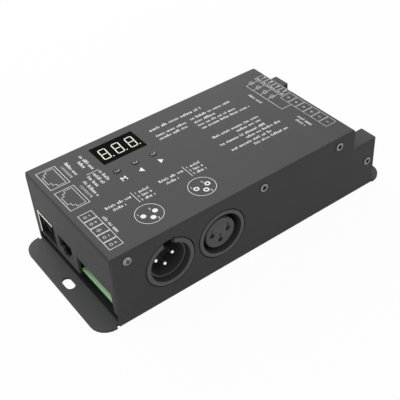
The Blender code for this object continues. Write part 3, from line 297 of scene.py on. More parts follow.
@dataclass(frozen=True)
class Finish:
    """How a surface looks: two close shades, its grain, its gloss and its edges."""

    name: str
    shade: Colour
    light_shade: Colour
    roughness: Point
    slot: Slot | None = None
    metallic: float = 0.0
    specular: float = 0.5
    grain: float = 2200.0
    cloud: float = 45.0
    grain_share: float = 0.5
    depth: float = 0.004 * MM
    edge_wear_sheen: Colour | None = None
    edge_amount: float = 0.6
    edge_patch: float = 160.0
    lines: Place | None = None
    glow: float = 0.0
    see_through: float = 0.0

    def material(self) -> Material:
        """Builds the material on first use.

        Returns:
            The finish's material.
        """
        name = self.name + "_finish"
        known = bpy.data.materials.get(name)
        if known:
            return known
        material = bpy.data.materials.new(name)
        desk = cleared(material)
        place = desk.add("ShaderNodeTexCoord").outputs["Object"]
        inputs = {"Vector": place, "Grain": self.grain, "Cloud": self.cloud}
        surface = desk.add("ShaderNodeGroup", node_tree=SURFACE_GRAIN, inputs=inputs)
        share = self.pattern(desk, place, surface)
        colour = self.marked(desk, place, desk.blend(share, self.shade, self.light_shade))
        # Lighter eased edges: partly rubbed coating, partly painted highlight.
        if self.edge_wear_sheen:
            inputs = {"Vector": place, "Patch": self.edge_patch, "Amount": self.edge_amount}
            edge = desk.add("ShaderNodeGroup", node_tree=EDGE_WEAR_AND_SHEEN, inputs=inputs)
            colour = desk.blend(edge.outputs["Mask"], colour, self.edge_wear_sheen)
        relief = {"Strength": 1.0, "Distance": self.depth, "Height": surface.outputs["Height"]}
        inputs = {
            "Base Color": colour,
            "Roughness": desk.spread(share, FULL, self.roughness),
            "Normal": desk.add("ShaderNodeBump", relief).outputs["Normal"],
            "Metallic": self.metallic,
            "Specular IOR Level": self.specular,
            "Subsurface Weight": self.see_through,
            "Subsurface Radius": (1.0, 1.0, 1.0),
            "Subsurface Scale": GLOW_DEPTH,
        }
        if self.glow:
            inputs |= {"Emission Color": colour, "Emission Strength": self.glow}
        shader = desk.add("ShaderNodeBsdfPrincipled", inputs)
        desk.add("ShaderNodeOutputMaterial", {"Surface": shader.outputs["BSDF"]})
        return material

    def pattern(self, desk: NodeDesk, place: Socket, surface: Node) -> Socket:
        """Mixes grain, clouds and drawn lines into one mask.

        Args:
            desk: the material's nodes.
            place: object coordinates.
            surface: the surface grain node.

        Returns:
            A mask from 0 to 1.
        """
        fine = surface.outputs["Grain"]
        if self.lines:
            inputs = {"Vector": place, "Lines": self.lines}
            fine = desk.add("ShaderNodeGroup", node_tree=DRAWN_LINES, inputs=inputs).outputs["Mask"]
        fine_part = desk.math("MULTIPLY", fine, self.grain_share)
        slow_part = desk.math("MULTIPLY", surface.outputs["Cloud"], 1.0 - self.grain_share)
        return desk.math("ADD", fine_part, slow_part)

    def marked(self, desk: NodeDesk, place: Socket, colour: Socket) -> Socket:
        """Gives the colour as it is; a finish with a drawing on it adds that here."""
        return colour


@dataclass(frozen=True)
class BoardFinish(Finish):
    """Solder mask over a field of copper tracks."""

    track_shade: Colour = (0.03, 0.17, 0.07)
    track_pitch: float = 1.27 * MM
    lane_pitches: float = 7.3

    def marked(self, desk: NodeDesk, place: Socket, colour: Socket) -> Socket:
        """Draws tracks that run along X, broken by lanes along Y.

        Args:
            desk: the material's nodes.
            place: object coordinates.
            colour: the solder mask's colour.

        Returns:
            The colour with the tracks in it.
        """
        inputs = {
            "Vector": place,
            "Color1": WHITE,
            "Color2": BLACK,
            "Mortar": BLACK,
            "Scale": 1.0,
            "Brick Width": self.lane_pitches * self.track_pitch,
            "Row Height": self.track_pitch,
            "Mortar Size": self.track_pitch / 4,
        }
        bricks = desk.add("ShaderNodeTexBrick", inputs, offset=0.5, offset_frequency=2)
        return desk.blend(bricks.outputs["Color"], colour, self.track_shade)


POWDER_COAT = Finish(
    "powder_coat", (0.067, 0.067, 0.068), (0.079, 0.079, 0.080), (0.58, 0.70), Slot.POWDER_COAT,
    specular=0.08, grain=2400.0, depth=0.012 * MM, edge_wear_sheen=(0.11, 0.11, 0.112), edge_amount=0.55,
)
# Painted shade: a dark strip over the lid's bend at the data end.
FOLD_SHADE = Finish(
    "fold_shade_paint", (0.030, 0.030, 0.031), (0.038, 0.038, 0.039), (0.58, 0.70), Slot.POWDER_COAT,
    specular=0.08, grain=2400.0,
)
INK = Finish("white_ink", (0.74, 0.74, 0.73), (0.82, 0.82, 0.81), (0.45, 0.6), grain=3500.0)
DIM_INK = Finish("grey_ink", (0.58, 0.58, 0.58), (0.68, 0.68, 0.67), (0.45, 0.6), grain=3500.0)
ZINC = Finish(
    "zinc_plate", (0.42, 0.42, 0.41), (0.58, 0.58, 0.57), (0.24, 0.42), Slot.ZINC,
    metallic=1.0, cloud=600.0, edge_wear_sheen=(0.75, 0.75, 0.74),
)
SCREW_ZINC = Finish(
    "dull_zinc", (0.22, 0.22, 0.218), (0.33, 0.33, 0.326), (0.34, 0.5), Slot.ZINC,
    metallic=1.0, cloud=900.0, edge_wear_sheen=(0.52, 0.52, 0.51),
)
NICKEL = Finish(
    "nickel_plate", (0.66, 0.65, 0.62), (0.78, 0.77, 0.74), (0.14, 0.26), Slot.NICKEL,
    metallic=1.0, lines=(400.0, 6000.0, 900.0), edge_wear_sheen=(0.86, 0.85, 0.82),
)
# Painted shade: a dark copy of the nickel plate for the front jack's shield.
SHADED_NICKEL = Finish(
    "painted_shade_nickel", (0.05, 0.05, 0.048), (0.08, 0.08, 0.077), (0.5, 0.6), Slot.NICKEL, metallic=1.0
)
# Painted shade: gold darkened well below its own colour, for contacts deep in the female insert.
SHADED_GOLD = Finish("shaded_gold_contact", (0.20, 0.14, 0.06), (0.30, 0.22, 0.10), (0.35, 0.5), metallic=1.0)
# Painted shade: gold contact wires darkened to near black.
SHADED_JACK_WIRE = Finish("shaded_jack_wire", (0.030, 0.026, 0.016), (0.045, 0.038, 0.024), (0.5, 0.6), metallic=1.0)
GREY_SHELL = Finish(
    "grey_shell", (0.086, 0.086, 0.087), (0.104, 0.104, 0.105), (0.40, 0.52), Slot.GREY_SHELL,
    specular=0.3, grain=3200.0, depth=0.006 * MM, edge_wear_sheen=(0.16, 0.16, 0.165),
)
# Painted shade: the dark sheet that lines the XLR bores.
BORE_SHADE = Finish(
    "painted_bore_shade", (0.046, 0.046, 0.046), (0.058, 0.058, 0.058), (0.5, 0.6), Slot.GREY_SHELL,
    specular=0.15, grain=3200.0,
)
LINER_PLASTIC = Finish(
    "liner_plastic", (0.040, 0.040, 0.040), (0.052, 0.052, 0.052), (0.4, 0.5), Slot.BLACK_PLASTIC
)
SILVER = Finish(
    "silver_plate", (0.90, 0.90, 0.88), (0.95, 0.95, 0.93), (0.16, 0.24), Slot.NICKEL, metallic=1.0
)
# Painted shade: a near-black block in the male connector's key gap.
KEYWAY_SHADE_PAINT = Finish(
    "painted_keyway_shade", (0.002, 0.002, 0.002), (0.004, 0.004, 0.004), (0.7, 0.8), Slot.BLACK_PLASTIC,
    specular=0.04,
)
# Painted highlight: a pale ring that stands for the lit edge of the liner's step.
LIP_HIGHLIGHT = Finish("painted_lip_highlight", (0.13, 0.13, 0.13), (0.165, 0.165, 0.165), (0.4, 0.5), specular=0.3)
BLACK_PLASTIC = Finish(
    "black_plastic", (0.014, 0.014, 0.014), (0.020, 0.020, 0.020), (0.36, 0.48), Slot.BLACK_PLASTIC,
    specular=0.25, grain=3000.0, edge_wear_sheen=(0.028, 0.028, 0.028),
)
GREY_PLASTIC = Finish(
    "grey_plastic", (0.088, 0.088, 0.090), (0.108, 0.108, 0.110), (0.40, 0.54), Slot.GREY_PLASTIC,
    specular=0.25, grain=2600.0, edge_wear_sheen=(0.15, 0.15, 0.152),
)
GREEN_PLASTIC = Finish(
    "green_plastic", (0.30, 0.60, 0.27), (0.36, 0.66, 0.33), (0.34, 0.46), Slot.GREEN_PLASTIC,
    grain=2000.0, edge_wear_sheen=(0.34, 0.56, 0.32), see_through=0.15,
)
# Painted light: a paler copy of the green plastic, for the header that sits in shade behind its window.
LIT_HEADER_GREEN = Finish(
    "painted_light_green_plastic", (0.37, 0.60, 0.325), (0.42, 0.65, 0.37), (0.34, 0.46), Slot.GREEN_PLASTIC,
    grain=2000.0, edge_wear_sheen=(0.48, 0.70, 0.43), see_through=0.15,
)
KEY_PLASTIC = Finish(
    "key_plastic", (0.050, 0.050, 0.051), (0.060, 0.060, 0.061), (0.12, 0.16), Slot.GREY_PLASTIC,
    depth=0.002 * MM,
)
BOARD = BoardFinish("solder_mask", (0.012, 0.095, 0.035), (0.018, 0.12, 0.045), (0.25, 0.35), Slot.BOARD)
# Painted shade: the film is near-black, and the same finish darkens the rear jack's throat floor.
FILM = Finish(
    "insulating_film", (0.010, 0.010, 0.010), (0.014, 0.014, 0.014), (0.5, 0.6), Slot.FILM, specular=0.15
)
DISPLAY_BODY = Finish(
    "display_body", (0.002, 0.002, 0.002), (0.003, 0.003, 0.003), (0.30, 0.36), Slot.DISPLAY_BLACK,
    specular=0.01, depth=0.001 * MM,
)
LIT_SEGMENT = Finish(
    "lit_segment", (0.74, 0.75, 0.62), (0.80, 0.80, 0.68), (0.4, 0.5), glow=0.25, depth=0.001 * MM
)
SLEEVE = Finish(
    "capacitor_sleeve", (0.012, 0.012, 0.014), (0.02, 0.02, 0.022), (0.25, 0.35), Slot.BLACK_PLASTIC
)


# Mesh making


def in_scene(name: str, data: ID) -> Object:
    """Makes an object and puts it in the scene.

    Args:
        name: name of the object.
        data: its mesh, curve, lamp or camera.

    Returns:
        The object.
    """
    made = bpy.data.objects.new(name, data)
    bpy.context.scene.collection.objects.link(made)
    return made


def to_mesh(shape: bmesh.types.BMesh, name: str) -> Mesh:
    """Turns an edit mesh into a mesh and frees it.

    Args:
        shape: the edit mesh.
        name: name of the mesh.

    Returns:
        The mesh.
    """
    mesh = bpy.data.meshes.new(name)
    shape.to_mesh(mesh)
    shape.free()
    return mesh


def merged(node: str) -> Mesh:
    """Copies a CAD node and joins its loose triangles into whole faces.

    Args:
        node: name of the CAD node.

    Returns:
        A new closed mesh.
    """
    shape = bmesh.new()
    shape.from_mesh(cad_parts[node].data)
    bmesh.ops.remove_doubles(shape, verts=shape.verts, dist=WELD)
    flat = math.radians(FLAT_ANGLE)
    bmesh.ops.dissolve_limit(shape, angle_limit=flat, verts=shape.verts[:], edges=shape.edges[:])
    return to_mesh(shape, node + "_copy")


def worked(mesh: Mesh, change: Callable[[Object], None]) -> Mesh:
    """Puts modifiers on a mesh and applies them.

    Args:
        mesh: the mesh to work on.
        change: adds the modifiers to the object that it is given.

    Returns:
        The new mesh, with the same name.
    """
    name = mesh.name
    carrier = in_scene(name, mesh)
    change(carrier)
    depsgraph = bpy.context.evaluated_depsgraph_get()
    result = bpy.data.meshes.new_from_object(
        carrier.evaluated_get(depsgraph), preserve_all_data_layers=True, depsgraph=depsgraph
    )
    bpy.data.objects.remove(carrier)
    result.name = name
    return result


def smoothed(mesh: Mesh, angle: float = ROUND_SHADING) -> Mesh:
    """Shades a mesh smooth, but for its sharp edges.

    Args:
        mesh: the mesh to shade.
        angle: smallest angle of a sharp edge, in degrees.

    Returns:
        The same mesh.
    """
    mesh.shade_smooth()
    mesh.set_sharp_from_angle(angle=math.radians(angle))
    return mesh


def eased(mesh: Mesh, width: float) -> Mesh:
    """Rounds the sharp edges and marks the faces that this makes.

    Args:
        mesh: the mesh to round.
        width: how far each edge is cut back, in metres.

    Returns:
        The rounded mesh, with the eased edge mark on its faces.
    """
    smoothed(mesh, SOFT_SHADING)
    mesh.materials.clear()
    mesh.materials.append(None)
    mesh.materials.append(None)

    def add_bevel(carrier: Object) -> None:
        """Adds the rounding, with flat faces kept flat in shading.

        Args:
            carrier: the object that is given the rounding.
        """
        bevel = carrier.modifiers.new("eased", "BEVEL")
        bevel.width = width
        bevel.segments = EASED_SEGMENTS
        bevel.limit_method = "ANGLE"
        bevel.angle_limit = math.radians(EASED_ANGLE)
        bevel.harden_normals = True
        bevel.material = 1

    result = worked(mesh, add_bevel)
    mark = result.attributes.new(EDGE_MARK, "FLOAT", "FACE")
    for face, value in zip(result.polygons, mark.data):
        value.value = float(face.material_index)
        face.material_index = 0
    result.materials.clear()
    return result


def combined(mesh: Mesh, operation: str, *others: Mesh) -> Mesh:
    """Cuts other shapes from a mesh, or joins them to it.

    Args:
        mesh: the first shape.
        operation: DIFFERENCE or UNION.
        others: the shapes cut away or joined.

    Returns:
        The result as a new mesh.
    """
    helpers = [in_scene(other.name, other) for other in others]

    def add_booleans(carrier: Object) -> None:
        """Adds one exact Boolean for each other shape.

        Args:
            carrier: the object that is cut or joined to.
        """
        for helper in helpers:
            step = carrier.modifiers.new(helper.name, "BOOLEAN")
            step.operation = operation
            step.solver = "EXACT"
            step.object = helper

    result = worked(mesh, add_booleans)
    for helper in helpers:
        bpy.data.objects.remove(helper)
    return result


def cut(mesh: Mesh, *others: Mesh) -> Mesh:
    """Cuts other shapes from a mesh."""
    return combined(mesh, "DIFFERENCE", *others)


def rotation(axis: str, degrees: float) -> Matrix:
    """Gives a turn about an axis."""
    return Matrix.Rotation(math.radians(degrees), 4, axis)


def facing_matrix(place: Place, facing: Facing) -> Matrix:
    """Gives the matrix that stands a piece at a place, with its own Z where it faces."""
    return Matrix.Translation(place) @ rotation("X", facing.value)


def cuboid(name: str, low: Place, high: Place) -> Mesh:
    """Makes a box.

    Args:
        name: name of the mesh.
        low: its lowest corner.
        high: its highest corner.

    Returns:
        The box.
    """
    shape = bmesh.new()
    middle = (Vector(low) + Vector(high)) / 2
    size = Vector(high) - Vector(low)
    matrix = Matrix.Translation(middle) @ Matrix.Diagonal((*size, 1.0))
    bmesh.ops.create_cube(shape, size=1.0, matrix=matrix)
    return to_mesh(shape, name)


def ring_of_points(count: int, radius: float, centre: Point = (0.0, 0.0)) -> list[Point]:
    """Gives the corners of a regular outline round a centre."""
    angles = [2 * math.pi * k / count for k in range(count)]
    return [(centre[0] + radius * math.cos(a), centre[1] + radius * math.sin(a)) for a in angles]


def arc(centre: Point, radius: float, start: float, end: float, steps: int = 4) -> list[Point]:
    """Gives points along an arc between two angles in degrees."""
    angles = [math.radians(start + (end - start) * k / steps) for k in range(steps + 1)]
    return [(centre[0] + radius * math.cos(a), centre[1] + radius * math.sin(a)) for a in angles]


def turned(
    name: str,
    profile: Sequence[Point],
    sides: int,
    place: Place,
    facing: Facing = Facing.FRONT,
    hollow: bool = False,
) -> Mesh:
    """Turns a profile round its axis.

    Args:
        name: name of the mesh.
        profile: radius and height of each point, from the axis at the top to the axis at the bottom.
        sides: faces round the axis.
        place: where the profile's zero height is.
        facing: where the top of the profile points.
        hollow: whether the profile closes on itself and stays off the axis.

    Returns:
        The closed mesh.
    """
    shape = bmesh.new()
    rings = []
    for radius, height in profile:
        spots = ring_of_points(sides, radius) if radius else [(0.0, 0.0)]
        rings.append([shape.verts.new((x, y, height)) for x, y in spots])
    after = rings[1:] + rings[:1] if hollow else rings[1:]
    for upper, lower in zip(rings, after):
        for k in range(sides):
            corners = [upper[k % len(upper)], lower[k % len(lower)]]
            corners += [lower[(k + 1) % len(lower)], upper[(k + 1) % len(upper)]]
            shape.faces.new(list(dict.fromkeys(corners)))
    return stood(shape, name, place, facing)


def stood(shape: bmesh.types.BMesh, name: str, place: Place, facing: Facing) -> Mesh:
    """Turns a shape's faces outwards and stands it at its place.

    Args:
        shape: the shape along its own Z.
        name: name of the mesh.
        place: where its origin goes.
        facing: where its Z points.

    Returns:
        The mesh.
    """
    bmesh.ops.recalc_face_normals(shape, faces=shape.faces)
    shape.transform(facing_matrix(place, facing))
    return to_mesh(shape, name)


def prism(
    name: str,
    outline: Sequence[Point],
    low: float,
    high: float,
    place: Place = ORIGIN,
    facing: Facing = Facing.UP,
) -> Mesh:
    """Pushes a flat outline along its axis.

    Args:
        name: name of the mesh.
        outline: corners of the outline in order.
        low: where it starts along the axis.
        high: where it ends.
        place: the outline's origin.
        facing: where the axis points.

    Returns:
        The closed mesh.
    """
    shape = bmesh.new()
    bottom, top = ([shape.verts.new((x, y, level)) for x, y in outline] for level in (low, high))
    shape.faces.new(bottom[::-1])
    shape.faces.new(top)
    for k in range(len(outline)):
        shape.faces.new((bottom[k - 1], bottom[k], top[k], top[k - 1]))
    return stood(shape, name, place, facing)


def joined(name: str, meshes: Iterable[Mesh]) -> Mesh:
    """Puts several meshes side by side in one.

    Args:
        name: name of the mesh.
        meshes: what is put in it.

    Returns:
        The one mesh.
    """
    shape = bmesh.new()
    for mesh in meshes:
        shape.from_mesh(mesh)
    return to_mesh(shape, name)


def lettering(words: str, size: float, thickness: float, weight: float) -> Mesh:
    """Makes raised letters, centred on the origin.

    Args:
        words: what is written.
        size: size of the letters.
        thickness: how thick they are, half of it below the origin.
        weight: how far their strokes are widened.

    Returns:
        The letters in one mesh.
    """
    curve = bpy.data.curves.new("lettering", "FONT")
    curve.body = words
    curve.align_x = "CENTER"
    curve.align_y = "CENTER"
    curve.size = size
    curve.extrude = thickness / 2
    curve.offset = weight
    writer = in_scene("lettering", curve)
    depsgraph = bpy.context.evaluated_depsgraph_get()
    mesh = bpy.data.meshes.new_from_object(writer.evaluated_get(depsgraph))
    bpy.data.objects.remove(writer)
    return mesh


# Geometry Nodes


def make_row_tree() -> NodeTree:
    """Builds the tree that repeats a piece along a straight line.

    Returns:
        A tree with inputs Piece, Count, Step and Finish, and the row as its output.
    """
    inputs = {"Piece": "Geometry", "Count": "Int", "Step": "Vector", "Finish": "Material"}
    desk, given, filled = new_group("row_of_pieces", inputs, {"Row": "Geometry"}, "GeometryNodeTree")
    spacing = {"Count": given["Count"], "Offset": given["Step"]}
    line = desk.add("GeometryNodeMeshLine", mode="OFFSET", inputs=spacing).outputs["Mesh"]
    copies = desk.add("GeometryNodeInstanceOnPoints", {"Points": line, "Instance": given["Piece"]})
    real = desk.add("GeometryNodeRealizeInstances", {"Geometry": copies.outputs["Instances"]})
    dressing = {"Geometry": real.outputs["Geometry"], "Material": given["Finish"]}
    dressed = desk.add("GeometryNodeSetMaterial", dressing)
    desk.feed(filled["Row"], dressed.outputs["Geometry"])
    return desk.tree


ROW_TREE = make_row_tree()


def row(mesh: Mesh, count: int, step: Place, finish: Finish) -> Mesh:
    """Repeats a mesh along a straight line with the row tree.

    Args:
        mesh: the first piece, where it stands.
        count: how many pieces.
        step: from one piece to the next.
        finish: what the row is made of.

    Returns:
        One mesh of all the pieces.
    """
    values = {"Count": count, "Step": step, "Finish": finish.material()}

    def add_tree(carrier: Object) -> None:
        """Adds the row tree with this row's sizes.

        Args:
            carrier: the object of the first piece.
        """
        step_along = carrier.modifiers.new("row", "NODES")
        step_along.node_group = ROW_TREE
        for item in ROW_TREE.interface.items_tree:
            if item.in_out == "INPUT" and item.name in values:
                step_along[item.identifier] = values[item.name]

    return worked(mesh, add_tree)


# Pieces


def piece(
    name: str, mesh: Mesh, finish: Finish, body: str = "case", stands_for: Sequence[str] = ()
) -> None:
    """Adds a finished piece to the object.

    Args:
        name: name of the piece.
        mesh: its mesh, in place.
        finish: what it is made of.
        body: the body that it moves with.
        stands_for: the CAD nodes that it replaces.
    """
    mesh.name = name
    mesh.materials.clear()
    mesh.materials.append(finish.material())
    made = in_scene(name, mesh)
    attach(made, body)
    if stands_for:
        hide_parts(*stands_for)
    LOG.info("%s: %d faces, %s, on %s", name, len(mesh.polygons), finish.name, body)


def repaint(node: str, finish: Finish) -> None:
    """Gives a CAD node that stays as it is its finish.

    Args:
        node: name of the CAD node.
        finish: what it is made of.
    """
    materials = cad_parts[node].data.materials
    if not materials:
        materials.append(None)
    for index in range(len(materials)):
        materials[index] = finish.material()
    LOG.info("%s: kept, %s", node, finish.name)


def eased_copy(node: str, finish: Finish, width: float) -> None:
    """Shows a CAD node with its edges softened by a width."""
    piece(node + "_shown", eased(merged(node), width), finish, stands_for=(node,))


def span_of(node: str) -> tuple[Vector, Vector]:
    """Gives the lowest and highest corner of a CAD node."""
    low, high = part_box(node)
    return Vector(low), Vector(high)


def middle_of(node: str) -> Vector:
    """Gives the middle of a CAD node's box."""
    low, high = span_of(node)
    return (low + high) / 2


@dataclass
class Case:
    """Folded tray and lid with fine-textured powder coat."""

    edge: float = 0.12 * MM
    sheet: float = 1.2 * MM
    lid_end: float = 58.0 * MM
    step_top: float = 28.0 * MM
    ring_hole_sides: int = 96
    ring_hole_radius: float = 12.25 * MM
    ring_hole_depth: float = 1.52 * MM
    fold_shade_width: float = 0.5 * MM
    fold_shade_paint: float = 0.02 * MM
    corner: float = 0.9 * MM
    seam_inset: float = 0.04 * MM
    seam_depth: float = 0.5 * MM
    seam_lap: float = 0.35 * MM

    def build(self) -> None:
        """Builds the tray and the lid."""
        holes = []
        for node in ("male_xlr_housing", "female_xlr_housing"):
            low, high = span_of(node)
            centre = ((low.x + high.x) / 2, low.y, high.z - XLR_FLANGE / 2)
            outline = ring_of_points(self.ring_hole_sides, self.ring_hole_radius)
            depth = -self.ring_hole_depth
            holes.append(prism("hole", outline, depth, 2 * CUT_PAST, centre, Facing.FRONT))
        tray = cut(merged("base_tray"), *holes)
        piece("base_tray_shown", eased(tray, self.edge), POWDER_COAT, stands_for=("base_tray",))
        eased_copy("top_lid", POWDER_COAT, self.edge)
        self.seams()
        self.fold()

    def fold(self) -> None:
        """Covers the lid's fold at the data end with a dark strip of painted shade."""
        low, high = span_of("top_lid")
        x, z = low.x, high.z
        depth = 4 * self.fold_shade_paint
        outline = [(x + self.fold_shade_width, z + self.fold_shade_paint)]
        outline += arc((x + self.edge, z - self.edge), self.edge + self.fold_shade_paint, 90, 180)
        outline += [(x - self.fold_shade_paint, z - self.fold_shade_width), (x + depth, z - self.fold_shade_width)]
        outline += [(x + depth, z - depth), (x + self.fold_shade_width, z - depth)]
        half = (high.y - low.y) / 2 - self.corner
        coat = prism("fold", outline, -half, half, facing=Facing.FRONT)
        piece("top_lid_fold_shade", smoothed(coat), FOLD_SHADE)

    def seams(self) -> None:
        """Fills the hair-line seams between the lid and the long walls with paint."""
        low, high = span_of("top_lid")
        tray_low, tray_high = span_of("base_tray")
        thick = self.seam_depth
        cover = self.sheet + self.seam_lap
        end = self.lid_end - thick
        runs = (
            ((low.x + thick, high.z - cover), (end, high.z - thick)),
            ((self.lid_end - cover, self.step_top - cover), (end, high.z - thick)),
            ((end, self.step_top - cover), (high.x - thick, self.step_top - thick)),
        )
        for side, outer, inward in (("front", tray_low.y, 1), ("back", tray_high.y, -1)):
            near, far = sorted((outer + inward * self.seam_inset, outer + inward * thick))
            strips = [cuboid("strip", (a[0], near, a[1]), (b[0], far, b[1])) for a, b in runs]
            piece(f"{side}_seam", combined(strips[0], "UNION", *strips[1:]), POWDER_COAT)


def heading(turn: float) -> tuple[Vector, Vector]:
    """Gives the unit vectors along and across a direction in degrees."""
    along = Vector((math.cos(math.radians(turn)), math.sin(math.radians(turn))))
    return along, Vector((-along.y, along.x))


def moved(start: Point, shift: Point) -> Point:
    """Gives a point that lies a shift away from another."""
    return start[0] + shift[0], start[1] + shift[1]


@dataclass
class Pen:
    """Draws thin raised strokes of ink on a face at one level, with one usual width."""

    level: float
    width: float
    sunk: float = 0.01 * MM
    raised: float = 0.03 * MM
    mitre_limit: float = 0.3
    tick_widths: tuple[float, ...] = (0.20, 0.20, 0.42)
    tick_heights: tuple[float, ...] = (0.68, 0.68, 0.68, 1.0)
    tick_gap: float = 0.22
    word_gap: float = 0.5
    word_length: tuple[int, int] = (3, 8)
    ring_sides: int = 48
    dot_sides: int = 24
    shape: bmesh.types.BMesh = field(default_factory=bmesh.new)

    def slab(self, outline: Sequence[Point]) -> None:
        """Fills a convex outline."""
        low = self.level - self.sunk
        self.take(prism("ink", outline, low, low + self.sunk + self.raised))

    def take(self, mesh: Mesh) -> None:
        """Adds a mesh that is already in place."""
        self.shape.from_mesh(mesh)
        bpy.data.meshes.remove(mesh)

    def stroke(self, points: Sequence[Point], closed: bool = False, width: float = 0.0) -> None:
        """Draws a line of one width through points, mitred at its corners.

        Args:
            points: corners of the line.
            closed: whether it returns to its start.
            width: width of the line, or zero for the pen's own.
        """
        half = (width or self.width) / 2
        count = len(points)
        places = [Vector(point) for point in points]
        left, right = [], []
        for k, here in enumerate(places):
            before = places[k - 1] if closed or k else None
            after = places[(k + 1) % count] if closed or k < count - 1 else None
            inward = (here - before).normalized() if before is not None else (after - here).normalized()
            outward = (after - here).normalized() if after is not None else inward
            normal = Vector((-inward.y - outward.y, inward.x + outward.x)).normalized()
            reach = half / max(normal.dot(Vector((-inward.y, inward.x))), self.mitre_limit)
            left.append(here + normal * reach)
            right.append(here - normal * reach)
        rails = []
        for level in (self.level - self.sunk, self.level + self.raised):
            for side in (left, right):
                rails.append([self.shape.verts.new((p.x, p.y, level)) for p in side])
        low_left, low_right, high_left, high_right = rails
        around = (high_right, high_left, low_left, low_right, high_right)
        for k in range(count if closed else count - 1):
            after = (k + 1) % count
            for first, second in zip(around, around[1:]):
                self.shape.faces.new((first[k], first[after], second[after], second[k]))
        if not closed:
            for k in (0, -1):
                self.shape.faces.new((low_left[k], low_right[k], high_right[k], high_left[k]))

    def frame(self, low: Point, high: Point, width: float = 0.0) -> None:
        """Draws a rectangle's outline."""
        corners = [low, (high[0], low[1]), high, (low[0], high[1])]
        self.stroke(corners, closed=True, width=width)

    def ring(self, centre: Point, radius: float, width: float = 0.0) -> None:
        """Draws a circle."""
        self.stroke(ring_of_points(self.ring_sides, radius, centre), closed=True, width=width)

    def dot(self, centre: Point, radius: float) -> None:
        """Draws a filled circle."""
        self.slab(ring_of_points(self.dot_sides, radius, centre))

    def bar(self, centre: Point, length: float, height: float, turn: float = 0.0) -> None:
        """Draws a filled bar.

        Args:
            centre: its middle.
            length: its length.
            height: its height.
            turn: its turn in degrees.
        """
        along, across = heading(turn)
        corners = []
        for a, b in ((-1, -1), (1, -1), (1, 1), (-1, 1)):
            corner = Vector(centre) + along * (a * length / 2) + across * (b * height / 2)
            corners.append((corner.x, corner.y))
        self.slab(corners)

    def text(
        self, words: str, centre: Point, height: float, turn: float = 0.0, weight: float = 0.02 * MM
    ) -> None:
        """Draws a number or a single letter.

        Args:
            words: what is written.
            centre: its middle.
            height: height of its capitals.
            turn: its turn in degrees.
            weight: how far its strokes are widened.
        """
        mesh = lettering(words, height * CAPITAL_TO_SIZE, self.sunk + self.raised, weight)
        level = self.level + (self.raised - self.sunk) / 2
        mesh.transform(Matrix.Translation((*centre, level)) @ rotation("Z", turn))
        self.take(mesh)

    def ticks(self, start: Point, length: float, turn: float, seed: int, height: float) -> None:
        """Draws a row of short upright ticks in groups, which stands for a line of small print.

        Args:
            start: where the row starts, at half its height.
            length: length of the row.
            turn: direction of the row in degrees.
            seed: picks the ticks.
            height: height of the tallest tick.
        """
        draw = random.Random(seed)
        along, upward = heading(turn)
        place = 0.0
        left = draw.randint(*self.word_length)
        while place < length:
            width = draw.choice(self.tick_widths) * height
            share = draw.choice(self.tick_heights)
            centre = Vector(start) + along * (place + width / 2) + upward * ((share - 1.0) * height / 2)
            self.bar(centre, width, share * height, turn)
            place += width + self.tick_gap * height
            left -= 1
            if left == 0:
                place += self.word_gap * height
                left = draw.randint(*self.word_length)

    def finish(self) -> Mesh:
        """Gives the drawing as one mesh and ends it."""
        bmesh.ops.recalc_face_normals(self.shape, faces=self.shape.faces)
        return to_mesh(self.shape, "ink")


